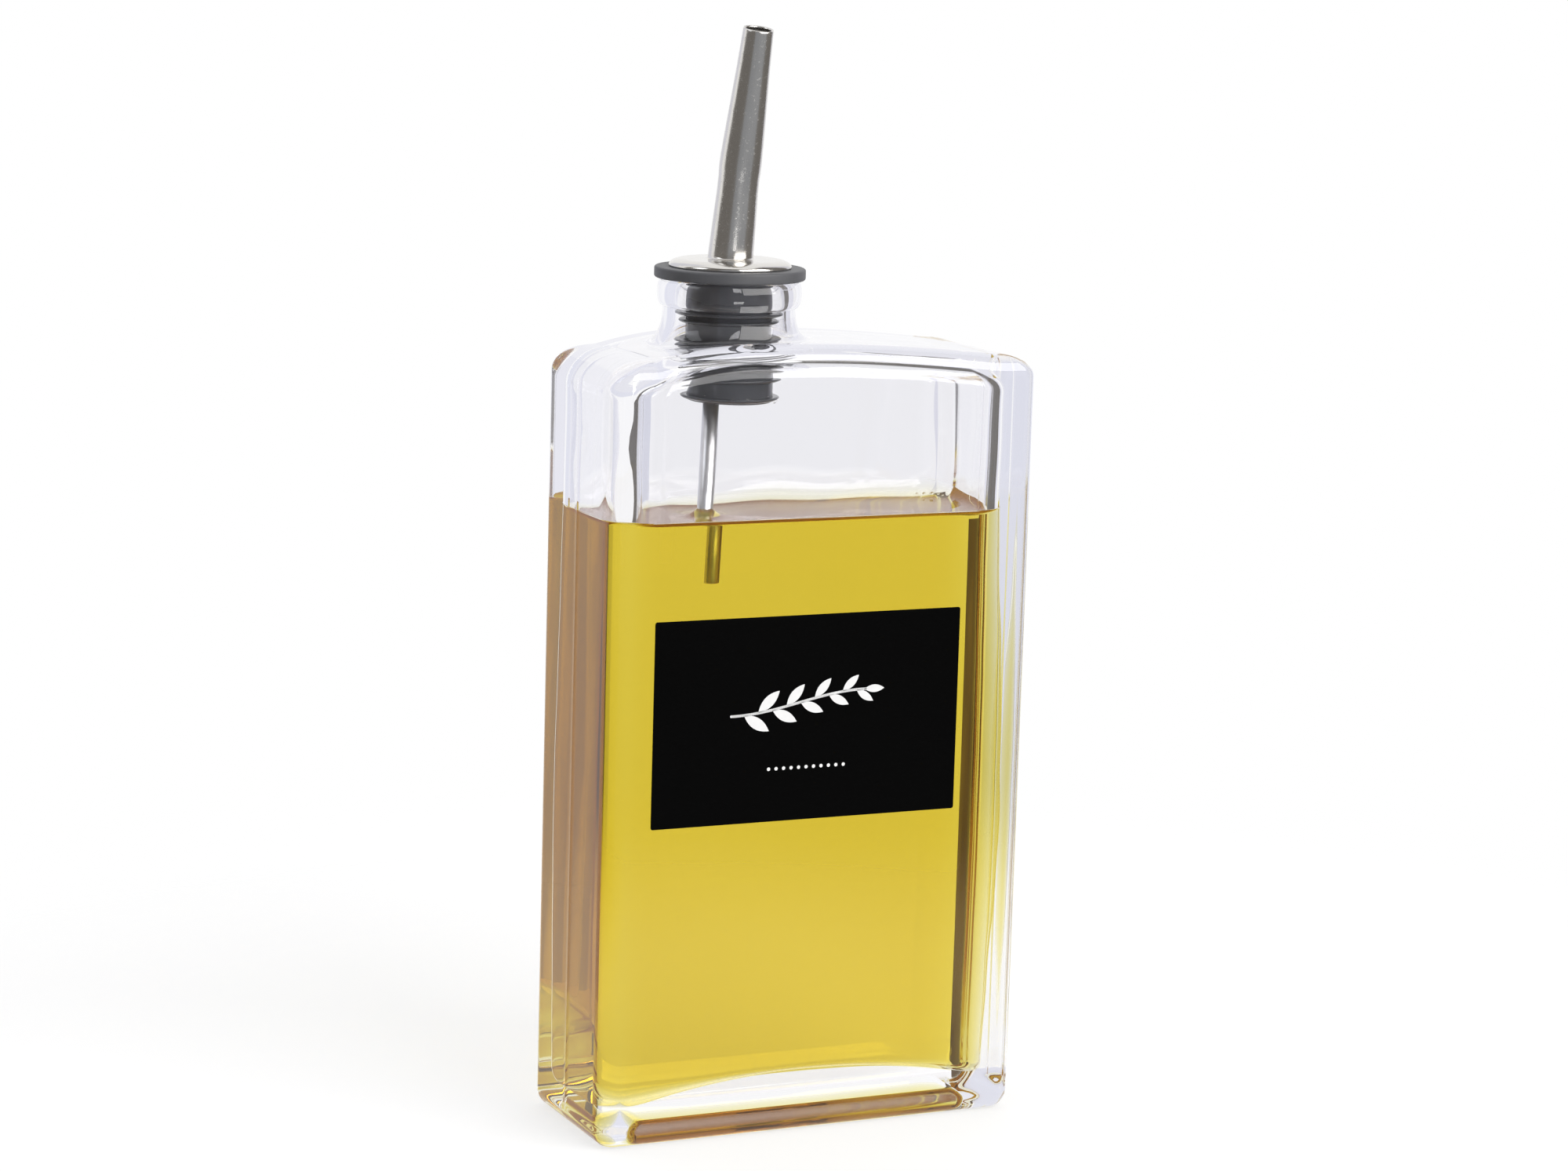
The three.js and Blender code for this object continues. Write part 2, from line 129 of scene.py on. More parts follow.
def mesh_of(name, points, faces):
    """A smooth-shaded mesh."""
    mesh = bpy.data.meshes.new(name)
    mesh.from_pydata([tuple(point) for point in points], [], faces)
    mesh.update()
    mesh.shade_smooth()
    return mesh


def place(name, mesh, node, slot, *finishes):
    """Adds a piece that rides on the part's one body and stands for a node of the frame."""
    piece = bpy.data.objects.new(name, mesh)
    bpy.context.scene.collection.objects.link(piece)
    mesh.materials.clear()
    for finish in finishes:
        mesh.materials.append(finish)
    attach(piece, "root")
    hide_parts(node)
    triangles = sum(len(polygon.vertices) - 2 for polygon in mesh.polygons)
    print(f"{name}: {triangles} triangles")
    return piece


# %% [markdown]
# ## Node graphs as Python
# Finishes are node graphs. Wiring them by hand takes many lines, so one small class wraps a socket and
# lets plain arithmetic add the Math nodes, and one method adds any other node.

# %% Helpers for node graphs
class Socket:
    """An output socket that takes part in arithmetic. Each operation adds one Math node."""

    def __init__(self, graph, output):
        self.graph = graph
        self.output = output

    def math(self, operation, first, second=0.0):
        return self.graph.node("ShaderNodeMath", {"operation": operation}, {0: first, 1: second})

    def __add__(self, other):
        return self.math("ADD", self, other)

    def __radd__(self, other):
        return self.math("ADD", other, self)

    def __sub__(self, other):
        return self.math("SUBTRACT", self, other)

    def __rsub__(self, other):
        return self.math("SUBTRACT", other, self)

    def __mul__(self, other):
        return self.math("MULTIPLY", self, other)

    def __rmul__(self, other):
        return self.math("MULTIPLY", other, self)

    def __abs__(self):
        return self.math("ABSOLUTE", self)

    def of(self, name):
        """Another output of the same node."""
        return Socket(self.graph, self.output.node.outputs[name])


class Graph:
    """A node tree that is built by expressions."""

    def __init__(self, tree):
        self.tree = tree

    def node(self, kind, settings=None, inputs=None, output=0):
        """Adds a node, sets its settings, then feeds its sockets with values or links."""
        made = self.tree.nodes.new(kind)
        for name, value in (settings or {}).items():
            setattr(made, name, value)
        for key, value in (inputs or {}).items():
            self.feed(self.find(made.inputs, key), value)
        return Socket(self, self.find(made.outputs, output)) if made.outputs else made

    def find(self, sockets, key):
        """A socket by its number, its identifier or its name."""
        named = [socket for socket in sockets if socket.identifier == key]
        return named[0] if named else sockets[key]

    def feed(self, socket, value):
        """Links a socket to a wrapped output, or sets its value."""
        if isinstance(value, Socket):
            self.tree.links.new(value.output, socket)
        else:
            socket.default_value = value

    def blend(self, share, first, second):
        """A colour part of the way from the first to the second."""
        colours = {"Factor_Float": share, "A_Color": first, "B_Color": second}
        return self.node("ShaderNodeMix", {"data_type": "RGBA"}, colours, "Result_Color")

    def on_object(self, height_share=1.0):
        """The place on the object that patterns read. A small share draws them out along the height."""
        spot = self.node("ShaderNodeTexCoord").of("Object")
        if height_share == 1.0:
            return spot
        return self.node("ShaderNodeMapping", inputs={"Vector": spot, "Scale": (1.0, 1.0, height_share)})

    def noise(self, scale, detail, height_share=1.0):
        """Soft noise over the object."""
        inputs = {"Vector": self.on_object(height_share), "Scale": scale, "Detail": detail}
        return self.node("ShaderNodeTexNoise", inputs=inputs)

    def bump(self, height, strength, distance):
        """A normal that follows a fine relief of a strength and a height in metres."""
        inputs = {"Strength": strength, "Distance": distance, "Height": height}
        return self.node("ShaderNodeBump", inputs=inputs)

    def span(self, value, low, high):
        """How far a value has come from low to high, held between 0 and 1."""
        return self.node("ShaderNodeMapRange", inputs={"Value": value, "From Min": low, "From Max": high})

    def light(self, colour, strength=1.0):
        """A shader that only gives light."""
        return self.node("ShaderNodeEmission", inputs={"Color": colour, "Strength": strength})

    def either(self, share, first, second):
        """The first shader or, by a share, the second."""
        return self.node("ShaderNodeMixShader", inputs={0: share, 1: first, 2: second})

    def surface(self, shader, **more):
        """Ends a finish in its surface and, for a liquid, its volume."""
        self.node("ShaderNodeOutputMaterial", inputs={"Surface": shader, **more})

    def solid(self, **sockets):
        """Ends a finish in one Principled shader. A _ in a socket's name stands for a space."""
        inputs = {name.replace("_", " "): value for name, value in sockets.items()}
        self.surface(self.node("ShaderNodeBsdfPrincipled", inputs=inputs))


def grey(level):
    """A grey colour."""
    return (level, level, level, 1.0)


def new_finish(name):
    """An empty material and its graph."""
    finish = bpy.data.materials.new(name)
    finish.use_nodes = True
    finish.node_tree.nodes.clear()
    return finish, Graph(finish.node_tree)


print("ring points:", RING_POINTS)

# %% [markdown]
# ## Sizes of the bottle
# The outer box comes from the frame. The rest are the driving sizes of the glass: its round edges, the
# crowned shoulder, the neck that stands to one side, and the hollow, whose side walls swell and thin.
# A foot has its spread to the sides and to the front. Drops are how far a rounded top edge falls at the
# wide faces and at the ends.

# %% Sizes of the bottle
bottle_low, bottle_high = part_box("bottle")
HALF_WIDTH = (bottle_high.x - bottle_low.x) / 2
HALF_DEPTH = (bottle_high.y - bottle_low.y) / 2
BOTTLE_TOP = bottle_high.z
CORNER_RADIUS = 4.5 * MM
BASE_EDGE_RADIUS = 4.2 * MM
SHOULDER_HEIGHT = 172.5 * MM
SHOULDER_CROWN = 3.2 * MM
SHOULDER_END_RADIUS = 10.0 * MM
SHOULDER_EDGE_RADIUS = 4.0 * MM
SHOULDER_DROPS = (4.0 * MM, 7.0 * MM)
RECESS_INSET = 6.6 * MM
RECESS_SLOPE = 5.0 * MM
RECESS_DEPTH = 4.2 * MM
RECESS_EASE = 0.4
LEAST_CORNER = 2.0 * MM

NECK_X = -16.0 * MM
NECK_RADIUS = 14.5 * MM
NECK_FOOT = (3.6 * MM, 1.8 * MM)
NECK_RISE = 5.5 * MM
BEAD_BOTTOM = 182.2 * MM
BEAD_BULGE = 1.3 * MM
BORE_RADIUS = 12.1 * MM
BORE_FOOT = (5.2 * MM, 1.6 * MM)
BORE_RISE = 8.6 * MM
LIP_ROUND = 0.8 * MM

FRONT_WALL = 3.5 * MM
SIDE_WALL = 4.2 * MM
SIDE_SWELL = 1.5 * MM
SWELL_HEIGHT = 148.0 * MM
SWELL_LENGTH = 156.0 * MM
HOLLOW_CORNER = 8.5 * MM
SHOULDER_WALL = 3.4 * MM
HOLLOW_END_RADIUS = 8.0 * MM
HOLLOW_EDGE_RADIUS = 3.0 * MM
HOLLOW_DROPS = (4.2 * MM, 6.0 * MM)
FLOOR_HEIGHT = 7.5 * MM
FLOOR_RISE = 6.5 * MM
FLOOR_BACK = 6.8 * MM
FLOOR_EDGE_RADIUS = 3.2 * MM
HOLLOW_HALF_WIDTH = HALF_WIDTH - SIDE_WALL
HOLLOW_HALF_DEPTH = HALF_DEPTH - FRONT_WALL
print(f"bottle {2 * HALF_WIDTH / MM:.1f} x {2 * HALF_DEPTH / MM:.1f} x {BOTTLE_TOP / MM:.1f} mm")

# %% [markdown]
# ## The outside of the bottle
# Moulded glass has a crisp outside, where it met the mould, with a fine seam down the middle of each
# narrow side. The rows run from the recess under the base, round the bottom edge, up the wall, over the
# crowned shoulder and up the neck to the rolled lip.

# %% Rows of the outside
BASE_ROWS = 12
WALL_ROWS = 26
SHOULDER_ROWS = 14
FOOT_ROWS = 8
BEAD_ROWS = 20
LIP_ROWS = 8
SEAM_HEIGHT = 0.12 * MM
SEAM_WIDTH = 0.35 * MM
BEAD_FULLNESS = 0.8
NECK_ROWS = 5
RECESS_PARTS = (0.4, 0.75, 0.95)
BEARING_PART = 0.9
END_SHARPNESS = 4


def shoulder_height(x):
    """Height of the shoulder, which rises from both ends to the neck."""
    end = HALF_WIDTH - SHOULDER_END_RADIUS
    reach = np.where(x < NECK_X, end + NECK_X, end - NECK_X)
    away = np.minimum(1.0, np.abs(x - NECK_X) / reach)
    return SHOULDER_HEIGHT + SHOULDER_CROWN * (1 - away**2)


def with_seam(outline):
    """An outline with the fine seam ridge on its two narrow sides."""
    ridge = SEAM_HEIGHT * np.exp(-((outline[:, 1] / SEAM_WIDTH) ** 2))
    raised = outline.copy()
    raised[:, 0] += np.sign(outline[:, 0]) * ridge * (np.abs(outline[:, 0]) > HALF_WIDTH / 2)
    return raised


def inset_outline(inset):
    """The body's outline, drawn in."""
    radius = max(CORNER_RADIUS - inset, LEAST_CORNER)
    return rounded_rectangle(HALF_WIDTH - inset, HALF_DEPTH - inset, radius)


def foot_outline(radius, foot):
    """The oval foot of a round wall, spread to the sides and less to the front and the back."""
    around = circle(1.0, 0.0)
    return (NECK_X, 0.0) + around * (np.array(foot) + radius)


def shoulder_rows(edge, foot, height):
    """Rings from the edge of the shoulder in to the foot of the neck."""
    outlines = [mix(edge, foot, part) for part in crowded(SHOULDER_ROWS)[1:]]
    return [ring(outline, height(outline[:, 0])) for outline in outlines]


def foot_rows(radius, foot, climb, height):
    """Rings that sweep from the shoulder up into a round wall of the neck."""
    top = height(np.array([NECK_X]))[0] + climb
    rows = []
    for turn in np.pi / 2 * steps(FOOT_ROWS)[1:]:
        outline = mix(foot_outline(radius, foot), circle(radius, NECK_X), math.sin(turn))
        rows.append(ring(outline, mix(height(outline[:, 0]), top, 1 - math.cos(turn))))
    return rows


def base_rows():
    """The recessed underside, the bearing ring and the rounded bottom edge."""
    rows = [np.array([[0.0, 0.0, RECESS_DEPTH]])]
    middle = inset_outline(RECESS_INSET + RECESS_SLOPE)
    rows += [ring(middle * part, RECESS_DEPTH) for part in RECESS_PARTS]
    for part in steps(BASE_ROWS):
        outline = inset_outline(RECESS_INSET + RECESS_SLOPE * (1 - part))
        climb = mix(part, (1 - math.cos(np.pi * part)) / 2, RECESS_EASE)
        rows.append(ring(outline, RECESS_DEPTH * (1 - climb)))
    rows.append(ring(inset_outline(mix(RECESS_INSET, BASE_EDGE_RADIUS, BEARING_PART)), 0.0))
    for turn in np.pi / 2 * steps(BASE_ROWS):
        outline = inset_outline(BASE_EDGE_RADIUS * (1 - math.sin(turn)))
        rows.append(ring(outline, BASE_EDGE_RADIUS * (1 - math.cos(turn))))
    return rows


def edge_drop(outline, face_drop, end_drop):
    """How far a rounded top edge falls at each point of an outline, from the wide faces to the ends."""
    nearness = np.abs(outline[:, 1]) / np.abs(outline[:, 1]).max()
    return mix(end_drop, face_drop, nearness**END_SHARPNESS)


def edge_rows(half_width, half_depth, corner, end_radius, edge_radius, drops, height):
    """Rings round a rounded top edge, from the wall up to the shoulder."""
    rows = []
    for turn in np.pi / 2 * steps(SHOULDER_ROWS):
        round_in = 1 - math.cos(turn)
        outline = rounded_rectangle(
            half_width - end_radius * round_in,
            half_depth - edge_radius * round_in,
            corner - edge_radius * round_in,
        )
        drop = edge_drop(outline, *drops) * (1 - math.sin(turn))
        rows.append(ring(outline, height(outline[:, 0]) - drop))
    return rows


def wall_and_shoulder_rows():
    """The upright wall with its seams, and the rounded edge of the shoulder."""
    outline = with_seam(inset_outline(0.0))
    top = shoulder_height(outline[:, 0]) - edge_drop(outline, *SHOULDER_DROPS)
    rows = [ring(outline, mix(BASE_EDGE_RADIUS, top, part)) for part in crowded(WALL_ROWS)[1:-1]]
    body, edge = (HALF_WIDTH, HALF_DEPTH, CORNER_RADIUS), (SHOULDER_END_RADIUS, SHOULDER_EDGE_RADIUS)
    return rows + [with_seam(row) for row in edge_rows(*body, *edge, SHOULDER_DROPS, shoulder_height)]


def neck_rows():
    """The neck and the rolled bead of its lip."""
    rows = foot_rows(NECK_RADIUS, NECK_FOOT, NECK_RISE, shoulder_height)
    foot, wall = rows[-1][0, 2], circle(NECK_RADIUS, NECK_X)
    rows += [ring(wall, mix(foot, BEAD_BOTTOM, part)) for part in crowded(NECK_ROWS)[1:-1]]
    for turn in np.pi * steps(BEAD_ROWS):
        outline = circle(NECK_RADIUS + BEAD_BULGE * math.sin(turn) ** BEAD_FULLNESS, NECK_X)
        rows.append(ring(outline, mix(BEAD_BOTTOM, BOTTLE_TOP, (1 - math.cos(turn)) / 2)))
    return rows


outside = base_rows() + wall_and_shoulder_rows()
outside += shoulder_rows(outside[-1][:, :2], foot_outline(NECK_RADIUS, NECK_FOOT), shoulder_height)
outside += neck_rows()
print("outside rows:", len(outside))

# %% [markdown]
# ## The hollow of the bottle
# The inside of such a bottle was shaped by air, so its walls aren't quite even: they swell, thin and
# ripple, and that bends the light into soft streaks. The hollow is laid out with straight walls first,
# and one function then moves every point by the swell and a few slow waves. The same rows, grown a
# little into the wall, later shape the oil, so that the two always fit. One row follows the line that
# the oil reaches, because wetted glass bends light far less than dry glass and gets its own finish.

# %% Rows of the hollow
WET_ROWS = 60
DRY_ROWS = 16
FLOOR_ROWS = 16
FLOOR_EDGE_ROWS = 10
FACE_WAVE = 0.16 * MM
SIDE_WAVE = 0.22 * MM
FULL_TURN = 2 * np.pi
BORE_ROWS = 6
# share, two lengths in metres and a start for each wave
FACE_WAVES = [(0.6, 0.052, 0.067, 0.1), (0.4, 0.027, -0.043, 0.4)]
SIDE_WAVES = [(0.6, 0.047, 0.060, 0.2), (0.4, 0.021, -0.033, 0.7)]
BACK_WAVES = [(0.5, 0.061, 1.0, 0.35), (0.3, 0.023, 1.0, 0.1)]
OIL_LEVEL = 136.4 * MM
WALL_CLIMB = 1.5 * MM
BACK_CLIMB = 2.6 * MM
BACK_CLIMB_PARTS = (-0.6, 0.3)
BACK_UNEVENNESS = 0.5


def hollow_outline(spread):
    """A level section of the hollow before it is blown, spread into the wall or drawn in from it."""
    radius = max(HOLLOW_CORNER + spread, LEAST_CORNER)
    return rounded_rectangle(HOLLOW_HALF_WIDTH + spread, HOLLOW_HALF_DEPTH + spread, radius)


def waves(table, first, second):
    """Slow waves along two directions, from a table of them."""
    return sum(
        share * np.sin(FULL_TURN * (first / length + second / other_length + start))
        for share, length, other_length, start in table
    )


def blown(points):
    """Points of the hollow, moved by the swell of the side walls and by slow waves along all walls."""
    x, y, z = points.T
    swell = SIDE_SWELL * np.cos(FULL_TURN * (z - SWELL_HEIGHT) / SWELL_LENGTH)
    moved = points.copy()
    moved[:, 0] += (SIDE_WAVE * waves(SIDE_WAVES, z, y) - swell) * x / HOLLOW_HALF_WIDTH
    moved[:, 1] += FACE_WAVE * waves(FACE_WAVES, x, z) * y / HOLLOW_HALF_DEPTH
    return moved


def smooth_step(value, low, high):
    """A smooth rise from 0 to 1 between two values."""
    part = np.clip((value - low) / (high - low), 0, 1)
    return part * part * (3 - 2 * part)


def wall_climb(outline):
    """How far the oil climbs the wall: a little all round, and more, unevenly, at the back."""
    x, y = outline.T
    back = np.clip(y / HOLLOW_HALF_DEPTH, 0, 1) ** 2
    low, high = (part * HOLLOW_HALF_WIDTH for part in BACK_CLIMB_PARTS)
    uneven = 1 + BACK_UNEVENNESS * back * waves(BACK_WAVES, x, 0.0)
    return WALL_CLIMB * uneven + back * BACK_CLIMB * smooth_step(x, low, high)


def floor_height(outline):
    """Height of the floor at an outline: arched at the front, falling to level at the back."""
    across = outline[:, 0] / HOLLOW_HALF_WIDTH
    deep = outline[:, 1] / HOLLOW_HALF_DEPTH
    arch = FLOOR_HEIGHT + FLOOR_RISE * np.maximum(0, 1 - across**2)
    return mix(arch, FLOOR_BACK, (1 + deep) / 2)


def hollow_rows(top, count, grow):
    """Floor and walls of the hollow, from the middle of the floor up to a height."""
    middle = np.array([[0.0, 0.0]])
    rows = [ring(middle, floor_height(middle) - grow)]
    edge = hollow_outline(grow - FLOOR_EDGE_RADIUS)
    for part in steps(FLOOR_ROWS)[1:-1]:
        rows.append(blown(ring(edge * part, floor_height(edge * part) - grow)))
    for turn in np.pi / 2 * steps(FLOOR_EDGE_ROWS):
        outline = hollow_outline(grow - FLOOR_EDGE_RADIUS * (1 - math.sin(turn)))
        lift = FLOOR_EDGE_RADIUS * (1 - math.cos(turn)) - grow
        wall_foot = floor_height(outline) + lift
        rows.append(blown(ring(outline, wall_foot)))
    rows += [blown(ring(outline, mix(wall_foot, top, part))) for part in crowded(count)[1:]]
    return rows


def inner_shoulder_height(x):
    """Height of the underside of the shoulder."""
    return shoulder_height(x) - SHOULDER_WALL


def inner_shoulder_rows():
    """The rounded top of the hollow, in to the bore and up it to the lip."""
    hollow = (HOLLOW_HALF_WIDTH, HOLLOW_HALF_DEPTH, HOLLOW_CORNER)
    edge = (HOLLOW_END_RADIUS, HOLLOW_EDGE_RADIUS)
    rows = [blown(row) for row in edge_rows(*hollow, *edge, HOLLOW_DROPS, inner_shoulder_height)]
    foot = foot_outline(BORE_RADIUS, BORE_FOOT)
    rows += shoulder_rows(rows[-1][:, :2], foot, inner_shoulder_height)
    rows += foot_rows(BORE_RADIUS, BORE_FOOT, BORE_RISE, inner_shoulder_height)
    bore_foot, bore_top, bore = rows[-1][0, 2], BOTTLE_TOP - LIP_ROUND, circle(BORE_RADIUS, NECK_X)
    rows += [ring(bore, mix(bore_foot, bore_top, part)) for part in crowded(BORE_ROWS)[1:-1]]
    for turn in np.pi / 2 * steps(LIP_ROWS):
        outline = circle(BORE_RADIUS + LIP_ROUND * (1 - math.cos(turn)), NECK_X)
        rows.append(ring(outline, bore_top + LIP_ROUND * math.sin(turn)))
    return rows


wall_outline = hollow_outline(0.0)
wall_top = inner_shoulder_height(wall_outline[:, 0]) - edge_drop(wall_outline, *HOLLOW_DROPS)
wet_line = OIL_LEVEL + wall_climb(wall_outline)
wet_rows = hollow_rows(wet_line, WET_ROWS, 0.0)
dry_rows = [blown(ring(wall_outline, mix(wet_line, wall_top, part))) for part in crowded(DRY_ROWS)[1:-1]]
inside = wet_rows + dry_rows + inner_shoulder_rows()
print("inside rows:", len(inside), "of which wet:", len(wet_rows))

# %% [markdown]
# ## Glass
# Clear glass is a Principled shader that lets all light through, with the index of soda glass. Real
# bottle glass is faintly cool, and its surface isn't perfectly flat, so a broad soft bump is added.
# Where the oil wets the wall the step from glass to oil is tiny, so those faces get a second finish
# with the ratio of the two indices. Without it the oil would mirror light that it really lets through.
# Light that the wall has thrown back and forth several times ends in a painted pale glow: past a few turns
# the glass gives light of its own instead of passing it on. The Light Path node counts those turns.

# %% The glass finishes and the bottle
GLASS_INDEX = 1.5
OIL_INDEX = 1.47
GLASS_COLOUR = (0.968, 0.966, 0.985, 1.0)
# colour of the painted pale glow that the glass gives after many turns of light
PAINTED_GLOW = (0.82, 0.82, 0.88, 1.0)
MOST_TURNS = 2.5
RIPPLE_SCALE = 55.0
RIPPLE_STRENGTH = 0.05
RIPPLE_HEIGHT = 0.5 * MM


def see_through(graph, index, colour=grey(1.0), **more):
    """A clear shader with an index of refraction."""
    inputs = {"Base Color": colour, "Roughness": 0.0, "IOR": index, "Transmission Weight": 1.0, **more}
    return graph.node("ShaderNodeBsdfPrincipled", inputs=inputs)


def clear_glass():
    """Clear bottle glass with a faintly cool tint and slow surface ripples, and a painted pale glow where
    light has turned many times.
    """
    finish, graph = new_finish("clear_glass")
    ripples = graph.bump(graph.noise(RIPPLE_SCALE, 1.0), RIPPLE_STRENGTH, RIPPLE_HEIGHT)
    clear = see_through(graph, GLASS_INDEX, GLASS_COLOUR, Normal=ripples)
    # past MOST_TURNS turns of light the glass gives a painted pale glow instead of letting light through
    turns = graph.node("ShaderNodeLightPath").of("Glossy Depth")
    painted_glow_share = turns.math("GREATER_THAN", turns, MOST_TURNS)
    graph.surface(graph.either(painted_glow_share, clear, graph.light(PAINTED_GLOW)))
    return finish


def wetted_glass():
    """The wall of the hollow where oil lies against it."""
    finish, graph = new_finish("wetted_glass")
    graph.surface(see_through(graph, GLASS_INDEX / OIL_INDEX))
    return finish


bottle_points, bottle_faces = skin(outside + inside[::-1])
bottle_mesh = mesh_of("glass_bottle", bottle_points, bottle_faces)
place("glass_bottle", bottle_mesh, "bottle", "glass", clear_glass(), wetted_glass())
wet_faces = np.zeros(len(bottle_faces), np.int32)
wet_faces[-(len(wet_rows) - 1) * RING_POINTS :] = 1
bottle_mesh.polygons.foreach_set("material_index", wet_faces)
print("wetted faces:", int(wet_faces.sum()))

# %% [markdown]
# ## The oil
# The oil fills the hollow up to its level, and its mesh reaches just into the wall, so that no film of
# air shows between them. Where it wets the glass and the air tube it climbs a little, and that small
# curve draws the dark line along the front. Its colour comes from depth: the inside of the mesh absorbs
# blue most and red least, so short paths are yellow and long ones are brown. Light bends only at the
# open top. The sides lie in the glass, whose wetted finish has already bent the light there.

# %% Rows of the oil and its finish
OIL_GROW = 0.2 * MM
OIL_ROWS = 50
CLIMB_ROWS = 18
CALM_ROWS = 10
TUBE_CLIMB = 1.8 * MM
CLIMB_LENGTH = 1.5 * MM
CALM_INSET = 8.0 * MM
TUBE_RADIUS = 1.75 * MM
TUBE_CALM_RADIUS = 8.5 * MM
TUBE_FOOT_X = -21.2 * MM
OIL_ABSORPTION = (0.908, 0.826, 0.02, 1.0)
OIL_DENSITY = 95.0


def oil_top_rows():
    """The surface of the oil: up the wall, level in between and up the tube."""
    rows = []
    climb = wall_climb(hollow_outline(OIL_GROW))
    for part in steps(CLIMB_ROWS)[1:] ** 2:
        inset = CALM_INSET * part
        height = OIL_LEVEL + climb * math.exp(-inset / CLIMB_LENGTH)
        rows.append(blown(ring(hollow_outline(OIL_GROW - inset), height)))
    edge = rows[-1]
    calm = ring(circle(TUBE_CALM_RADIUS, TUBE_FOOT_X), OIL_LEVEL)
    rows += [mix(edge, calm, part) for part in steps(CALM_ROWS)[1:]]
    for part in (1 - steps(CLIMB_ROWS)[1:]) ** 2:
        away = (TUBE_CALM_RADIUS - TUBE_RADIUS) * part
        rise = TUBE_CLIMB * math.exp(-away / CLIMB_LENGTH)
        rows.append(ring(circle(TUBE_RADIUS + away, TUBE_FOOT_X), OIL_LEVEL + rise))
    rows.append(np.array([[TUBE_FOOT_X, 0.0, OIL_LEVEL + TUBE_CLIMB]]))
    return rows


def oil_depth(graph):
    """The inside of the oil, which takes up colour along the way of the light."""
    inputs = {"Color": OIL_ABSORPTION, "Density": OIL_DENSITY}
    return graph.node("ShaderNodeVolumeAbsorption", inputs=inputs)


def golden_oil():
    """Golden oil. Its sides, against the wetted glass, don't bend light a second time."""
    finish, graph = new_finish("golden_oil")
    open_top = graph.node("ShaderNodeAttribute", {"attribute_name": "open_top"}, output="Fac")
    skin_of_oil = graph.either(open_top, see_through(graph, 1.0), see_through(graph, OIL_INDEX))
    graph.surface(skin_of_oil, Volume=oil_depth(graph))
    return finish


oil_wall_top = OIL_LEVEL + wall_climb(hollow_outline(OIL_GROW))
oil_sides, oil_top = hollow_rows(oil_wall_top, OIL_ROWS, OIL_GROW), oil_top_rows()
oil_points, oil_faces = skin(oil_sides + oil_top)
oil_mesh = mesh_of("oil_fill", oil_points, oil_faces)
top_faces = np.zeros(len(oil_faces), np.float32)
top_faces[-len(oil_top) * RING_POINTS :] = 1.0
oil_mesh.attributes.new("open_top", "FLOAT", "FACE").data.foreach_set("value", top_faces)
place("oil_fill", oil_mesh, "oil", "oil", golden_oil())

# %% [markdown]
# ## The rubber stopper
# A moulded plug of dark rubber with a flange on top that rests on the lip. The plug is turned from a
# profile. Above the neck the rubber is dull and dusty, and in the neck it is wet with oil, so its finish
# has a fine grain and a gloss that changes with height.

# %% The rubber finish and the plug
stopper_low, stopper_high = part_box("stopper")
FLANGE_RADIUS = (stopper_high.x - stopper_low.x) / 2
FLANGE_TOP = stopper_high.z
FLANGE_GAP = 0.05 * MM
FLANGE_BOTTOM = BOTTLE_TOP + FLANGE_GAP
FLANGE_FLAT_PART = 0.1
FLANGE_EDGE = 0.5 * MM
PLUG_RADIUS = 9.4 * MM
PLUG_BOTTOM = stopper_low.z
PLUG_EDGE = 0.4 * MM
TURN_STEPS = 128
RUBBER_DARK = (0.080, 0.081, 0.088, 1.0)
RUBBER_LIGHT = (0.110, 0.111, 0.120, 1.0)
RUBBER_GRAIN = 2600.0
RUBBER_BUMP = (0.25, 0.05 * MM)
RUBBER_CLOUD = 160.0
OILED_ROUGHNESS = 0.13
DRY_ROUGHNESS = 0.32
CLOUD_ROUGHNESS = 0.1


def turned(name, profile, axis_x):
    """A mesh turned about an upright axis, from radius and height pairs that go up its outside."""
    rings = []
    for radius, height in profile:
        outline = circle(radius, axis_x, TURN_STEPS) if radius > 0 else np.array([[axis_x, 0.0]])
        rings.append(ring(outline, height))
    return mesh_of(name, *skin(rings))


def rounding(radius, height, size, start, end, count=6):
    """Profile points of a rounded edge about a centre, between two directions in degrees."""
    turns = np.radians(mix(start, end, steps(count)))
    return [(radius + size * math.cos(turn), height + size * math.sin(turn)) for turn in turns]


def dark_rubber():
    """Dark grey moulded rubber with a fine grain, dry above the neck and glossy with oil in it."""
    finish, graph = new_finish("dark_rubber")
    cloud = graph.noise(RUBBER_CLOUD, 3.0)
    height = graph.node("ShaderNodeSeparateXYZ", inputs={"Vector": graph.on_object()}).of("Z")
    dryness = graph.span(height, BEAD_BOTTOM, FLANGE_BOTTOM)
    graph.solid(
        Base_Color=graph.blend(cloud, RUBBER_DARK, RUBBER_LIGHT),
        Roughness=OILED_ROUGHNESS + dryness * DRY_ROUGHNESS + cloud * CLOUD_ROUGHNESS,
        Normal=graph.bump(graph.noise(RUBBER_GRAIN, 2.0), *RUBBER_BUMP),
    )
    return finish


rubber = dark_rubber()
rim = FLANGE_RADIUS - FLANGE_EDGE
plug_profile = [(0.0, PLUG_BOTTOM)]
plug_profile += rounding(PLUG_RADIUS - PLUG_EDGE, PLUG_BOTTOM + PLUG_EDGE, PLUG_EDGE, -90, 0)
plug_profile += [(PLUG_RADIUS, FLANGE_BOTTOM - PLUG_EDGE), (PLUG_RADIUS + PLUG_EDGE, FLANGE_BOTTOM)]
plug_profile += rounding(rim, FLANGE_BOTTOM + FLANGE_EDGE, FLANGE_EDGE, -90, 0)
plug_profile += rounding(rim, FLANGE_TOP - FLANGE_EDGE, FLANGE_EDGE, 0, 90)
plug_profile += [(mix(rim, 0.0, FLANGE_FLAT_PART), FLANGE_TOP), (0.0, FLANGE_TOP)]
place("stopper_plug", turned("stopper_plug", plug_profile, NECK_X), "stopper", "rubber", rubber)

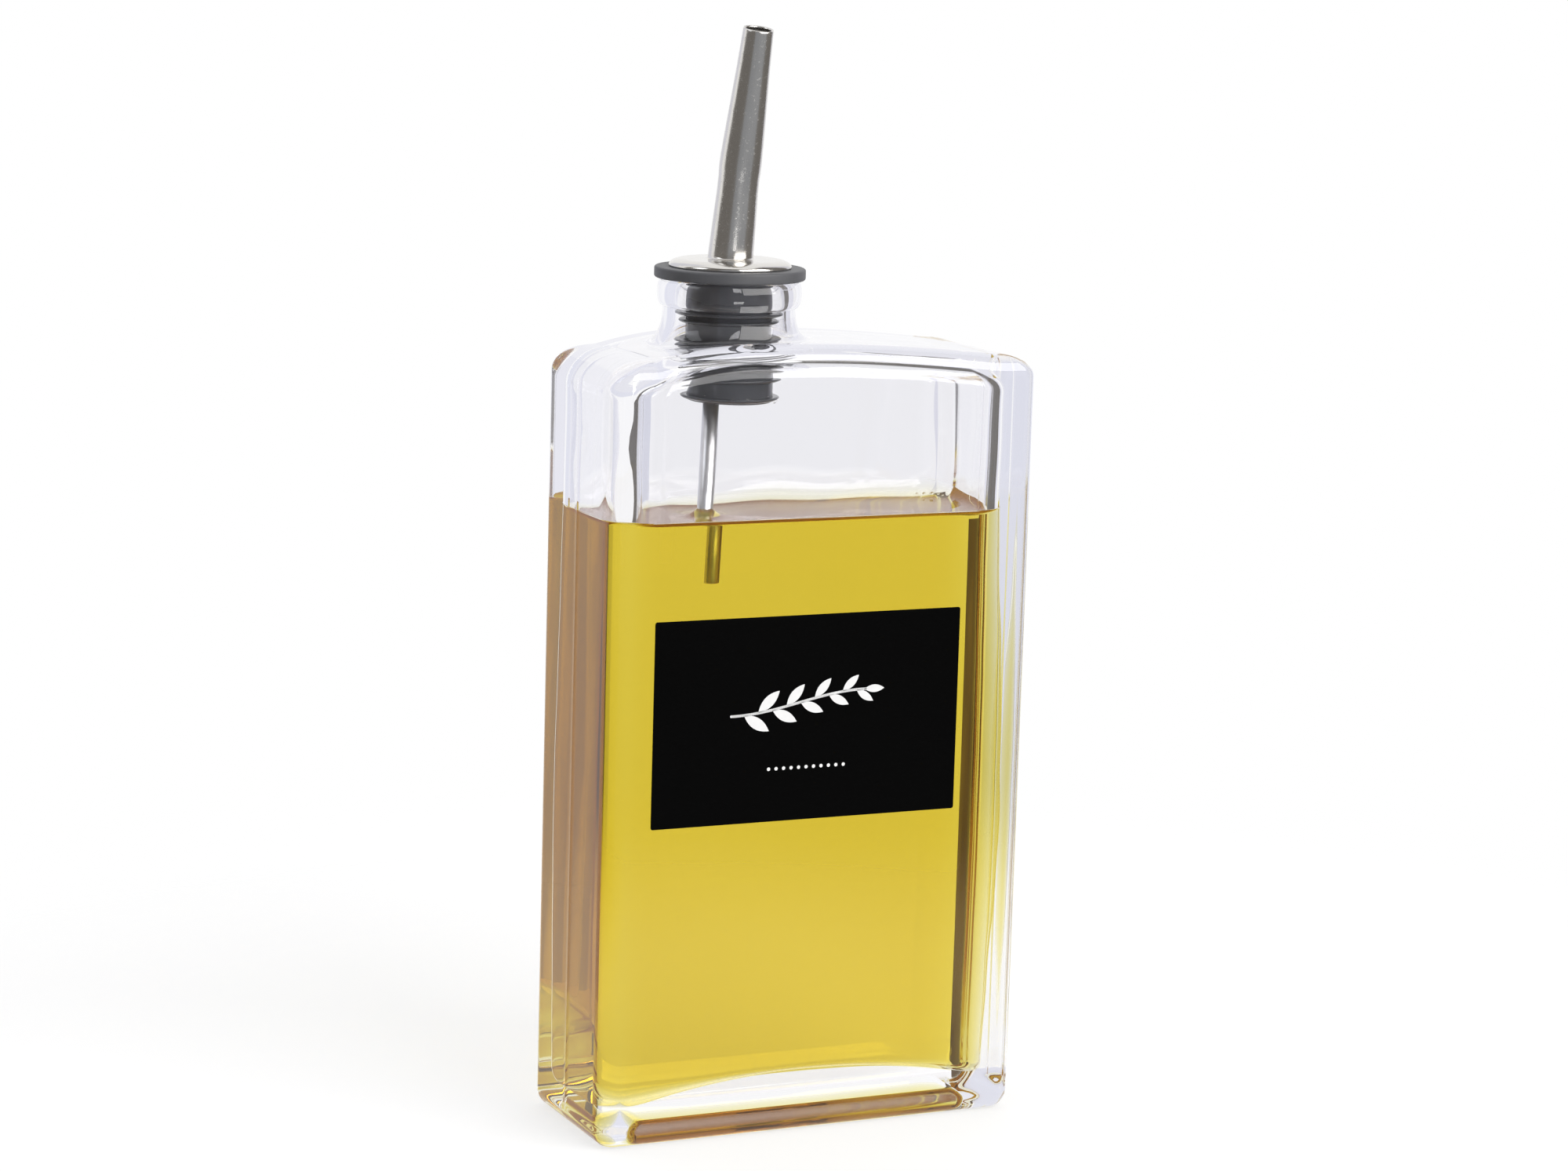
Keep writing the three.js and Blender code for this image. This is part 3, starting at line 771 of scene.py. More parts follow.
# %% [markdown]
# ## The fins of the plug
# Thin fins round the plug seal the neck, and they bend upwards as it is pushed in. They repeat, so
# Geometry Nodes set one fin on each of a row of points. A fin is a flat oval swept round a circle of
# radius one, with its sizes as shares of that, and each point carries the radius it is scaled to.

# %% Fins by Geometry Nodes
# height and radius of each fin, in mm
FINS = [(180.8, 11.8), (178.9, 11.0), (173.4, 11.8), (170.5, 11.8), (166.7, 11.3), (162.5, 10.9)]
FIN_REACH = 0.24
FIN_THICKNESS = 0.085
FIN_TILT = 0.2
FIN_SIDES = 20


def new_tree(name, sizes):
    """A Geometry Nodes tree with a named input for each size. Returns its graph, its inputs and the
    values for the modifier, by the identifiers of the inputs."""
    tree = bpy.data.node_groups.new(name, "GeometryNodeTree")
    tree.interface.new_socket("Geometry", in_out="INPUT", socket_type="NodeSocketGeometry")
    values = {}
    for label, value in sizes.items():
        kind = "NodeSocketInt" if isinstance(value, int) else "NodeSocketFloat"
        made = tree.interface.new_socket(label, in_out="INPUT", socket_type=kind)
        values[made.identifier] = value
    tree.interface.new_socket("Geometry", in_out="OUTPUT", socket_type="NodeSocketGeometry")
    graph = Graph(tree)
    return graph, graph.node("NodeGroupInput"), values


def end_tree(graph, geometry, finish, smooth=True):
    """Ends a tree with smooth or flat faces, real geometry and a finish."""
    shading = {"Geometry": geometry, "Shade Smooth": smooth}
    shaded = graph.node("GeometryNodeSetShadeSmooth", inputs=shading)
    real = graph.node("GeometryNodeRealizeInstances", inputs={"Geometry": shaded})
    painted = graph.node("GeometryNodeSetMaterial", inputs={"Geometry": real, "Material": finish})
    graph.node("NodeGroupOutput", inputs={"Geometry": painted})


def carried(graph, name):
    """The value of an attribute that each point carries."""
    return graph.node("GeometryNodeInputNamedAttribute", {"data_type": "FLOAT"}, {"Name": name})


def vector(graph, x=0.0, y=0.0, z=0.0):
    """A vector from three values."""
    return graph.node("ShaderNodeCombineXYZ", inputs={"X": x, "Y": y, "Z": z})


def swept_circle(graph, sides, radius=1.0):
    """A circle, to sweep or to sweep along."""
    return graph.node("GeometryNodeCurvePrimitiveCircle", inputs={"Resolution": sides, "Radius": radius})


def set_on_points(graph, group, shape, scale, **more):
    """Sets a shape on each point, scaled by a vector."""
    links = {"Points": group.of("Geometry"), "Instance": shape, "Scale": scale, **more}
    return graph.node("GeometryNodeInstanceOnPoints", inputs=links)


def grown_mesh(name, points, edges, attributes, graph, values, wall=0.0):
    """Runs a tree on points and edges and returns the result as a plain mesh, with a wall if asked."""
    seed = bpy.data.meshes.new(name)
    seed.from_pydata([tuple(point) for point in points], edges, [])
    for attribute, numbers in attributes.items():
        layer = seed.attributes.new(attribute, "FLOAT", "POINT")
        layer.data.foreach_set("value", np.asarray(numbers, np.float32))
    carrier = bpy.data.objects.new(name, seed)
    bpy.context.scene.collection.objects.link(carrier)
    nodes = carrier.modifiers.new("nodes", "NODES")
    nodes.node_group = graph.tree
    for identifier, value in values.items():
        nodes[identifier] = value
    if wall:
        solid = carrier.modifiers.new("wall", "SOLIDIFY")
        solid.thickness = wall
        solid.offset = -1.0
    depsgraph = bpy.context.evaluated_depsgraph_get()
    mesh = bpy.data.meshes.new_from_object(carrier.evaluated_get(depsgraph))
    carrier.modifiers.clear()
    bpy.data.objects.remove(carrier)
    bpy.data.meshes.remove(seed)
    mesh.name = name
    return mesh


def fin_tree():
    """Sets an upturned fin on each point, scaled to the radius that the point carries."""
    sizes = {"Reach": FIN_REACH, "Thickness": FIN_THICKNESS, "Tilt": FIN_TILT}
    graph, group, values = new_tree("plug_fins", sizes)
    reach = group.of("Reach") * 0.5
    path = swept_circle(graph, TURN_STEPS, 1 - reach)
    shaping = {
        "Geometry": swept_circle(graph, FIN_SIDES),
        "Rotation": vector(graph, z=0.0 - group.of("Tilt")),
        "Scale": vector(graph, reach, group.of("Thickness") * 0.5, 1.0),
    }
    section = graph.node("GeometryNodeTransform", inputs=shaping)
    fin = graph.node("GeometryNodeCurveToMesh", inputs={"Curve": path, "Profile Curve": section})
    radius = carried(graph, "fin_radius")
    fins = set_on_points(graph, group, fin, vector(graph, radius, radius, radius))
    end_tree(graph, fins, rubber)
    return graph, values


fin_points = [(NECK_X, 0.0, height * MM) for height, radius in FINS]
fin_radii = {"fin_radius": [radius * MM for height, radius in FINS]}
fin_mesh = grown_mesh("stopper_fins", fin_points, [], fin_radii, *fin_tree())
place("stopper_fins", fin_mesh, "stopper", "rubber", rubber)

# %% [markdown]
# ## Steel
# The collar and the spout are polished stainless steel, drawn over a former, so fine lines run along the
# metal and a few small pits sparkle. Noise that is stretched along the height gives the lines.

# %% The steel finish
STEEL_COLOUR = (0.792, 0.77, 0.735, 1.0)
STEEL_DARK = (0.704, 0.683, 0.65, 1.0)
STEEL_CLOUD = 220.0
LINE_SCALE = 1400.0
LINE_SHARE = 0.03
PIT_SCALE = 1500.0
PIT_LIMITS = (0.64, 0.72)
LINE_ROUGHNESS = 0.06
PIT_ROUGHNESS = 0.1
STEEL_BUMP = (1.0, 0.02 * MM)


def steel(name, roughness, line_height, pits_height):
    """Stainless steel with fine lines along the height and small pits."""
    finish, graph = new_finish(name)
    lines = graph.noise(LINE_SCALE, 3.0, LINE_SHARE)
    pits = graph.span(graph.noise(PIT_SCALE, 1.0), *PIT_LIMITS)
    relief = lines * line_height + pits * pits_height
    graph.solid(
        Base_Color=graph.blend(graph.noise(STEEL_CLOUD, 2.0), STEEL_COLOUR, STEEL_DARK),
        Metallic=1.0,
        Roughness=roughness + lines * LINE_ROUGHNESS + pits * PIT_ROUGHNESS,
        Normal=graph.bump(relief, *STEEL_BUMP),
    )
    return finish


polished = steel("polished_steel", roughness=0.14, line_height=0.05, pits_height=0.1)
drawn = steel("drawn_steel", roughness=0.19, line_height=0.2, pits_height=0.35)
print("steel finishes:", polished.name, drawn.name)

# %% [markdown]
# ## The collar
# A low steel dish with a rounded edge that holds the spout on the stopper. It is turned from a profile
# that ends in a small fillet round the foot of the spout.

# %% The collar, turned
COLLAR_RADIUS = 13.4 * MM
COLLAR_RISE = 1.8 * MM
COLLAR_EDGE = 3.4 * MM
COLLAR_CURL = 0.25 * MM
COLLAR_FILLET = 0.5 * MM
COLLAR_BORE = 4.6 * MM
COLLAR_GAP = 0.02 * MM
COLLAR_SLOPE = 0.08 * MM
COLLAR_EDGE_ROWS = 20
COLLAR_TOP_ROWS = 6
SPOUT_RADIUS = 4.95 * MM


def collar_profile():
    """Profile of the dish: rolled lip, rounded edge, nearly flat top and the fillet at the spout."""
    foot = FLANGE_TOP + COLLAR_GAP
    top = FLANGE_TOP + COLLAR_RISE
    profile = [(COLLAR_BORE, foot)]
    profile += rounding(COLLAR_RADIUS - COLLAR_CURL, foot + COLLAR_CURL, COLLAR_CURL, -90, 0)
    for turn in np.pi / 2 * steps(COLLAR_EDGE_ROWS)[1:]:
        radius = COLLAR_RADIUS - COLLAR_EDGE * (1 - math.cos(turn))
        profile.append((radius, mix(foot + COLLAR_CURL, top, math.sin(turn))))
    flat_end = SPOUT_RADIUS + COLLAR_FILLET
    inward = steps(COLLAR_TOP_ROWS)[1:]
    profile += [(mix(radius, flat_end, part), top + COLLAR_SLOPE * part) for part in inward]
    fillet_height = top + COLLAR_SLOPE + COLLAR_FILLET
    profile += rounding(flat_end, fillet_height, COLLAR_FILLET, 270, 180)[1:]
    profile.append((COLLAR_BORE, fillet_height))
    return profile


place("steel_collar", turned("steel_collar", collar_profile(), NECK_X), "collar", "steel", polished)

# %% [markdown]
# ## The spout
# A tapered tube that leans forward, with a soft bend half way up where it was pressed. It follows a path,
# so Geometry Nodes turn a line of points into a curve and sweep a circle along it, scaled to the radius
# that each point carries. A Solidify modifier then gives the sheet its wall, so the mouth is open.

# %% The spout by Geometry Nodes
SPOUT_FOOT = FLANGE_TOP + 0.3 * MM
SPOUT_LEAN_START = FLANGE_TOP + 1.2 * MM
SPOUT_LEAN_END = FLANGE_TOP + 3.0 * MM
SPOUT_BEND = 213.0 * MM
BEND_REACH = 2.0 * MM
SPOUT_TOP = 242.4 * MM
SPOUT_WALL = 0.4 * MM
SPOUT_TURN = math.radians(13.4)
LEAN_LOW = math.radians(7.4)
LEAN_HIGH = math.radians(9.9)
SPOUT_STATIONS = 140
SPOUT_SIDES = 96
# height and radius along the spout, in mm
SPOUT_WIDTHS = [(190, 4.95), (194, 4.93), (200, 4.75), (207, 4.48), (210, 4.47), (212.5, 4.58)]
SPOUT_WIDTHS += [(214.5, 4.55), (218, 4.4), (226, 4.0), (234, 3.6), (242.1, 3.3), (242.4, 3.18)]


def spout_path():
    """Points of the middle line of the spout, from inside the collar to the mouth."""
    height = mix(SPOUT_FOOT, SPOUT_TOP, steps(SPOUT_STATIONS))
    lean = LEAN_LOW * smooth_step(height, SPOUT_LEAN_START, SPOUT_LEAN_END)
    lean += (LEAN_HIGH - LEAN_LOW) * smooth_step(height, SPOUT_BEND - BEND_REACH, SPOUT_BEND + BEND_REACH)
    away = np.cumsum(np.diff(height, prepend=height[0]) * np.tan(lean))
    return np.column_stack([NECK_X + away * math.sin(SPOUT_TURN), -away * math.cos(SPOUT_TURN), height])


def spout_tree():
    """Sweeps a circle along the line of points, as wide as each point says."""
    graph, group, values = new_tree("spout_sweep", {"Sides": SPOUT_SIDES})
    line = graph.node("GeometryNodeMeshToCurve", inputs={"Mesh": group.of("Geometry")})
    section = swept_circle(graph, group.of("Sides"))
    links = {"Curve": line, "Profile Curve": section, "Scale": carried(graph, "tube_radius")}
    swept = graph.node("GeometryNodeCurveToMesh", inputs=links)
    end_tree(graph, swept, drawn)
    return graph, values


spout_points = spout_path()
spout_edges = [(index, index + 1) for index in range(len(spout_points) - 1)]
width_heights, widths = np.array(SPOUT_WIDTHS).T * MM
spout_radii = {"tube_radius": np.interp(spout_points[:, 2], width_heights, widths)}
spout_mesh = grown_mesh("steel_spout", spout_points, spout_edges, spout_radii, *spout_tree(), SPOUT_WALL)
place("steel_spout", spout_mesh, "spout", "steel", drawn)

# %% [markdown]
# ## The air tube
# A thin steel pipe that lets air in while the oil pours. Old oil clings to it, so it is mottled and duller
# than the spout. It is turned from a profile that goes up the outside and down the bore, and it
# leans a little, because it is only pushed into the soft plug.

# %% The tube and its finish
TUBE_BORE = 1.2 * MM
TUBE_BOTTOM = 122.5 * MM
TUBE_TOP = 168.0 * MM
TUBE_EDGE = 0.15 * MM
TUBE_TOP_X = -20.0 * MM
TUBE_LEAN = (TUBE_TOP_X - TUBE_FOOT_X) / (TUBE_TOP - OIL_LEVEL)
TUBE_LIGHT = grey(0.92)
TUBE_DARK = (0.78, 0.77, 0.76, 1.0)
TUBE_CLOUD = 400.0
FILM_SCALE = 1100.0
FILM_SHARE = 0.35
FILM_BUMP = (0.8, 0.06 * MM)
TUBE_ROUGHNESS = 0.24
FILM_ROUGHNESS = 0.25


def wet_steel():
    """Steel under an uneven film of oil."""
    finish, graph = new_finish("wet_steel")
    film = graph.noise(FILM_SCALE, 3.0, FILM_SHARE)
    graph.solid(
        Base_Color=graph.blend(graph.noise(TUBE_CLOUD, 2.0), TUBE_LIGHT, TUBE_DARK),
        Metallic=1.0,
        Roughness=TUBE_ROUGHNESS + film * FILM_ROUGHNESS,
        Normal=graph.bump(film, *FILM_BUMP),
    )
    return finish


pipe_profile = rounding(TUBE_RADIUS - TUBE_EDGE, TUBE_BOTTOM + TUBE_EDGE, TUBE_EDGE, -90, 0)
pipe_profile += [(TUBE_RADIUS, TUBE_TOP), (TUBE_BORE, TUBE_TOP)]
pipe_profile += rounding(TUBE_BORE + TUBE_EDGE, TUBE_BOTTOM + TUBE_EDGE, TUBE_EDGE, 180, 270)
pipe_mesh = turned("air_pipe", pipe_profile, TUBE_TOP_X)
lean = Matrix.Identity(4)
lean[0][2], lean[0][3] = TUBE_LEAN, -TUBE_LEAN * TUBE_TOP
pipe_mesh.transform(lean)
place("air_pipe", pipe_mesh, "air_tube", "steel", wet_steel())

# %% [markdown]
# ## The label
# A thin black film on the flat front. It is a skin over a few rings that are drawn flat and then stood
# upright, so that its corners and edges are slightly rounded and catch the light.

# %% The label sheet
label_low, label_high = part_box("label")
LABEL_GAP = 0.02 * MM
LABEL_BACK = label_high.y - LABEL_GAP
LABEL_THICKNESS = LABEL_BACK - label_low.y
LABEL_CORNER = 0.5 * MM
LABEL_EDGE = 0.06 * MM
LABEL_EDGE_ROWS = 3
LABEL_BACK_INSET = 1.0 * MM
LABEL_FACE_PARTS = (0.97, 0.6)
LABEL_GRAIN = 1800.0
LABEL_BUMP = (0.1, 0.02 * MM)
MATT_ROUGHNESS = 0.5
GRAIN_ROUGHNESS = 0.2
LABEL_DARK = grey(0.0008)
LABEL_LIGHT = grey(0.0022)


def stand_on_front(mesh, front):
    """Stands a mesh that was drawn flat upright, about the middle of the label, to face the front."""
    middle = (label_low + label_high) / 2
    upright = Matrix.Rotation(math.pi / 2, 4, "X")
    mesh.transform(Matrix.Translation((middle.x, front, middle.z)) @ upright)
    return mesh


def sheet_rows(half_width, half_height, thickness):
    """Rings of a thin flat sheet with rounded edges, from its back to its face."""
    rows = [np.array([[0.0, 0.0, 0.0]])]
    for inset, height in ((LABEL_BACK_INSET, 0.0), (0.0, 0.0), (0.0, thickness - LABEL_EDGE)):
        outline = rounded_rectangle(half_width - inset, half_height - inset, LABEL_CORNER)
        rows.append(ring(outline, height))
    for turn in np.pi / 2 * steps(LABEL_EDGE_ROWS)[1:]:
        inset = LABEL_EDGE * (1 - math.cos(turn))
        outline = rounded_rectangle(half_width - inset, half_height - inset, LABEL_CORNER - inset)
        rows.append(ring(outline, thickness - LABEL_EDGE * (1 - math.sin(turn))))
    rows += [ring(outline * part, thickness) for part in LABEL_FACE_PARTS]
    rows.append(np.array([[0.0, 0.0, thickness]]))
    return rows


def black_film():
    """Black printed film with a faint satin grain."""
    finish, graph = new_finish("black_film")
    grain = graph.noise(LABEL_GRAIN, 2.0)
    graph.solid(
        Base_Color=graph.blend(grain, LABEL_DARK, LABEL_LIGHT),
        Roughness=MATT_ROUGHNESS + grain * GRAIN_ROUGHNESS,
        Specular_IOR_Level=0.02,
        Normal=graph.bump(grain, *LABEL_BUMP),
    )
    return finish


label_width, label_height = label_high.x - label_low.x, label_high.z - label_low.z
label_mesh = mesh_of("label_film", *skin(sheet_rows(label_width / 2, label_height / 2, LABEL_THICKNESS)))
place("label_film", stand_on_front(label_mesh, LABEL_BACK), "label", "label", black_film())

# %% [markdown]
# ## The print on the label
# The print is plain: a sprig with leaves, and a dotted line under it, in white. Both repeat one small
# shape, so Geometry Nodes set a disc on each point of a layout. A point carries the length and the turn
# of its disc, and whether the disc is pinched to a leaf.

# %% The print by Geometry Nodes
INK_THICKNESS = 0.02 * MM
LEAF_SLIM = 0.36
LEAF_SPREAD = 0.62
STEM_HALF = 16.0
STEM_SHIFT = 2.2
STEM_MIDDLE = 3.4
STEM_BOW = 2.2
STEM_DOTS = 75
STEM_DOT_SIZE = 0.3
LEAF_COUNT = 9
LEAF_PLACES = (-0.82, 0.86)
LEAF_LENGTHS = (3.5, 2.4)
LEAF_GAP = 0.2
TIP_REACH = 2.2
DOTS_HEIGHT = -11.0
DOTS_HALF = 9.0
DOT_COUNT = 11
DOT_SIZE = 0.4
DISC_SIDES = 28
INK_SCALE = 900.0
INK_LIGHT = grey(0.86)
INK_DARK = grey(0.78)


def stem(along):
    """Height of the stem of the sprig and its direction, at a share of the way from -1 to 1."""
    height = STEM_MIDDLE + STEM_BOW * math.sin(along * math.pi / 2)
    slope = STEM_BOW * math.pi / 2 * math.cos(along * math.pi / 2) / STEM_HALF
    return height, math.atan(slope)


def sprig_layout():
    """Points of the sprig and the dotted line, with length, leaf or dot, and turn for each."""
    layout = []
    for along in np.linspace(-1.0, 1.0, STEM_DOTS):
        layout.append((along * STEM_HALF - STEM_SHIFT, stem(along)[0], STEM_DOT_SIZE, 0.0, 0.0))
    for index, along in enumerate(np.linspace(*LEAF_PLACES, LEAF_COUNT)):
        height, turn = stem(along)
        length = mix(*LEAF_LENGTHS, index / (LEAF_COUNT - 1))
        turn += LEAF_SPREAD if index % 2 else -LEAF_SPREAD
        reach = length + LEAF_GAP
        across = along * STEM_HALF - STEM_SHIFT + reach * math.cos(turn)
        layout.append((across, height + reach * math.sin(turn), length, 1.0, turn))
    height, turn = stem(1.0)
    tip = (STEM_HALF - STEM_SHIFT + TIP_REACH, height + TIP_REACH * math.sin(turn))
    layout.append((*tip, LEAF_LENGTHS[1], 1.0, turn))
    for across in np.linspace(-DOTS_HALF, DOTS_HALF, DOT_COUNT):
        layout.append((across, DOTS_HEIGHT, DOT_SIZE, 0.0, 0.0))
    return np.array(layout)


def white_ink():
    """White screen ink, slightly uneven."""
    finish, graph = new_finish("white_ink")
    cloud = graph.noise(INK_SCALE, 2.0)
    graph.solid(
        Base_Color=graph.blend(cloud, INK_LIGHT, INK_DARK),
        Roughness=MATT_ROUGHNESS + cloud * GRAIN_ROUGHNESS,
        Specular_IOR_Level=0.2,
    )
    return finish


def print_tree(ink):
    """Sets a thin disc, pinched to a leaf where the point says so, on each point."""
    graph, group, values = new_tree("label_print", {"Ink": INK_THICKNESS, "Slimness": LEAF_SLIM})
    sizes = {"Vertices": DISC_SIDES, "Radius": 1.0, "Depth": group.of("Ink")}
    disc = graph.node("GeometryNodeMeshCylinder", inputs=sizes)
    place_on_disc = graph.node("GeometryNodeInputPosition")
    parts = graph.node("ShaderNodeSeparateXYZ", inputs={"Vector": place_on_disc})
    pinched = parts.of("Y") * abs(parts.of("Y")) * group.of("Slimness")
    moved = {"Geometry": disc, "Position": vector(graph, parts.of("X"), pinched, parts.of("Z"))}
    leaf = graph.node("GeometryNodeSetPosition", inputs=moved)
    length, turned_by = carried(graph, "length"), vector(graph, z=carried(graph, "turn"))
    kinds = []
    for shape, test in ((leaf, "GREATER_THAN"), (disc, "LESS_THAN")):
        limits = {"A": carried(graph, "leafy"), "B": 0.5}
        chosen = graph.node("FunctionNodeCompare", {"operation": test}, limits)
        scale = vector(graph, length, length, 1.0)
        kinds.append(set_on_points(graph, group, shape, scale, Selection=chosen, Rotation=turned_by))
    both = graph.node("GeometryNodeJoinGeometry", inputs={"Geometry": kinds[0]})
    graph.tree.links.new(kinds[1].output, both.output.node.inputs["Geometry"])
    end_tree(graph, both, ink, smooth=False)
    return graph, values


ink = white_ink()
layout = sprig_layout()
layout_points = np.column_stack([layout[:, :2] * MM, np.full(len(layout), 0.0)])
print_values = {"length": layout[:, 2] * MM, "leafy": layout[:, 3], "turn": layout[:, 4]}
print_mesh = grown_mesh("label_print", layout_points, [], print_values, *print_tree(ink))
place("label_print", stand_on_front(print_mesh, label_low.y), "label", "label", ink)

# %% [markdown]
# ## Drops and bubbles
# Small drops of oil cling under the plug, and a few bubbles sit in one corner of the oil. Each is a
# small ball on a point that carries its size, so Geometry Nodes set them in one go.

# %% Drops by Geometry Nodes
DROP_COUNT = 16
DROP_SEED = 7
DROP_TURNS = (-2.6, -0.4)
DROP_HEIGHTS = (161.9, 164.2)
DROP_SIZES = (0.12, 0.3)
DROP_ROUNDNESS = 3
LOWEST_FIN_TOP = 163.2 * MM
FIN_AND_PLUG_REACH = (10.75, 9.45)
# place across and to the back, and size, in mm
BUBBLES = [(41.5, 14.5, 0.55), (39.9, 15.4, 0.4), (42.6, 13.2, 0.35), (38.3, 15.7, 0.3), (43.0, 11.6, 0.3)]
BUBBLE_RISE = 0.3 * MM


def oil_drop():
    """The same oil as a small drop in the open."""
    finish, graph = new_finish("oil_drop")
    graph.surface(see_through(graph, OIL_INDEX), Volume=oil_depth(graph))
    return finish


def drop_layout():
    """Points of the drops round the lowest fin and of the bubbles in the back corner, with sizes."""
    chance = np.random.default_rng(DROP_SEED)
    turns = chance.uniform(*DROP_TURNS, DROP_COUNT)
    heights = chance.uniform(*DROP_HEIGHTS, DROP_COUNT) * MM
    reach = np.where(heights < LOWEST_FIN_TOP, *FIN_AND_PLUG_REACH) * MM
    sizes = chance.uniform(*DROP_SIZES, DROP_COUNT) * MM
    drops = np.column_stack([NECK_X + reach * np.cos(turns), reach * np.sin(turns), heights, sizes])
    bubbles = [(x * MM, y * MM, OIL_LEVEL + BUBBLE_RISE, size * MM) for x, y, size in BUBBLES]
    return np.concatenate([drops, bubbles])


def drop_tree():
    """Sets a ball on each point, of the size that the point carries."""
    graph, group, values = new_tree("oil_drops", {"Roundness": DROP_ROUNDNESS})
    shaping = {"Radius": 1.0, "Subdivisions": group.of("Roundness")}
    ball = graph.node("GeometryNodeMeshIcoSphere", inputs=shaping)
    size = carried(graph, "drop_size")
    drops = set_on_points(graph, group, ball, vector(graph, size, size, size))
    end_tree(graph, drops, drop_finish)
    return graph, values


drop_finish = oil_drop()
drops = drop_layout()
drop_mesh = grown_mesh("oil_drops", drops[:, :3], [], {"drop_size": drops[:, 3]}, *drop_tree())
place("oil_drops", drop_mesh, "oil", "oil", drop_finish)

# %% [markdown]
# ## Camera
# The camera stands a little to the left of the front and looks slightly down. Its place, its lens and a
# small roll follow from the bottle's edges in the picture, which is taken to be 2000 by 1493 pixels.

# %% The camera
AZIMUTH = math.radians(24.903)
PITCH = math.radians(10.057)
ROLL = math.radians(1.704)
DISTANCE = 913.2 * MM
TARGET = Vector((0.0, 0.0, 114.4 * MM))
IMAGE_WIDTH = 2000
FOCAL_PIXELS = 5243.4
CENTRE_SHIFT = (-3.55, 30.1)
SENSOR_WIDTH = 36.0

right = Vector((math.cos(AZIMUTH), -math.sin(AZIMUTH), 0.0))
level = Vector((math.sin(AZIMUTH), math.cos(AZIMUTH), 0.0))
rise = Vector((0.0, 0.0, 1.0))
ahead = level * math.cos(PITCH) - rise * math.sin(PITCH)
upward = level * math.sin(PITCH) + rise * math.cos(PITCH)
camera_x = right * math.cos(ROLL) + upward * math.sin(ROLL)
camera_y = upward * math.cos(ROLL) - right * math.sin(ROLL)
turn_matrix = Matrix((camera_x, camera_y, -ahead)).transposed().to_4x4()
camera_data = bpy.data.cameras.new("camera")
camera_data.sensor_width = SENSOR_WIDTH
camera_data.lens = FOCAL_PIXELS / IMAGE_WIDTH * SENSOR_WIDTH
camera_data.shift_x = CENTRE_SHIFT[0] / IMAGE_WIDTH
camera_data.shift_y = CENTRE_SHIFT[1] / IMAGE_WIDTH
camera = bpy.data.objects.new("camera", camera_data)
camera.matrix_world = Matrix.Translation(TARGET - ahead * DISTANCE) @ turn_matrix
bpy.context.scene.collection.objects.link(camera)
bpy.context.scene.camera = camera
print(f"lens {camera_data.lens:.1f} mm")

# %% [markdown]
# ## Studio
# Glass and steel show what stands round them, so the studio is most of the picture. Behind the camera a
# wide dim screen wraps round, which darkens the front of the steel, and a lighter panel in it draws the
# band along the spout. Soft boxes give the highlights, and a pale panel at each side cools the walls of
# the glass. All are parts of spheres round the object and hang on the camera, so every view has the same
# light.

# %% Screen, panels and soft boxes
PATCH_STEP = 6.0
# name, left, right, low and high in degrees, radius in metres, colour, strength
STUDIO = [
    ("front_screen", -93, 134, -70, 65, 1.30, (0.17, 0.16, 0.15), 1.0),
    ("front_panel", -18, 70, -40, 40, 1.27, (0.28, 0.29, 0.31), 1.0),
    ("cool_box", -78, -52, 24, 52, 1.15, (0.93, 0.96, 1.0), 2.0),
    ("key_box", 22, 80, 10, 50, 1.15, (1.0, 0.99, 0.97), 5.0),
    ("neck_box", -3, 11, 26, 34.5, 0.10, (1.0, 1.0, 1.0), 7.0),
    ("left_side", -152, -115, -60, 60, 1.29, (0.78, 0.79, 0.87), 1.0),
    ("right_side", 134, 152, -60, 60, 1.29, (0.80, 0.80, 0.87), 1.0),
]


def toward(azimuth, elevation):
    """Direction from the object, in degrees to the right of the camera and above the level."""
    turn, climb = math.radians(azimuth), math.radians(elevation)
    flat = -level * math.cos(turn) + right * math.sin(turn)
    return flat * math.cos(climb) + rise * math.sin(climb)


def glow(name, colour, strength):
    """A finish that only gives light."""
    finish, graph = new_finish(name)
    graph.surface(graph.light((*colour, 1.0), strength))
    return finish


def stand_in_studio(name, points, faces, finish):
    """Adds a piece of the studio that the camera itself doesn't see."""
    mesh = mesh_of(name, points, faces)
    mesh.materials.append(finish)
    stand = bpy.data.objects.new(name, mesh)
    bpy.context.scene.collection.objects.link(stand)
    stand.visible_camera = False
    return stand


def hang_patch(name, left, right_end, low, high, radius, colour, strength):
    """A glowing part of a sphere round the object, hung on the camera."""
    across = np.linspace(left, right_end, 1 + math.ceil((right_end - left) / PATCH_STEP))
    upwards = np.linspace(low, high, 1 + math.ceil((high - low) / PATCH_STEP))
    points = [TARGET + toward(a, e) * radius for e in upwards for a in across]
    faces = []
    for row in range(len(upwards) - 1):
        for column in range(len(across) - 1):
            start = row * len(across) + column
            faces.append((start, start + 1, start + 1 + len(across), start + len(across)))
    hung = stand_in_studio(name, points, faces, glow(name, colour, strength))
    hung.parent = camera
    hung.matrix_parent_inverse = camera.matrix_world.inverted()


for patch in STUDIO:
    hang_patch(*patch)
print("patches:", len(STUDIO))

# %% [markdown]
# ## Flags
# The right back corner of the bottle shows brown and pale stripes through the oil. They are the picture of
# what stands behind it, so a narrow brown flag and a wider pale one stand there, close to the glass and
# fixed to the room. The camera itself doesn't see them, so they show only in the glass and the steel.

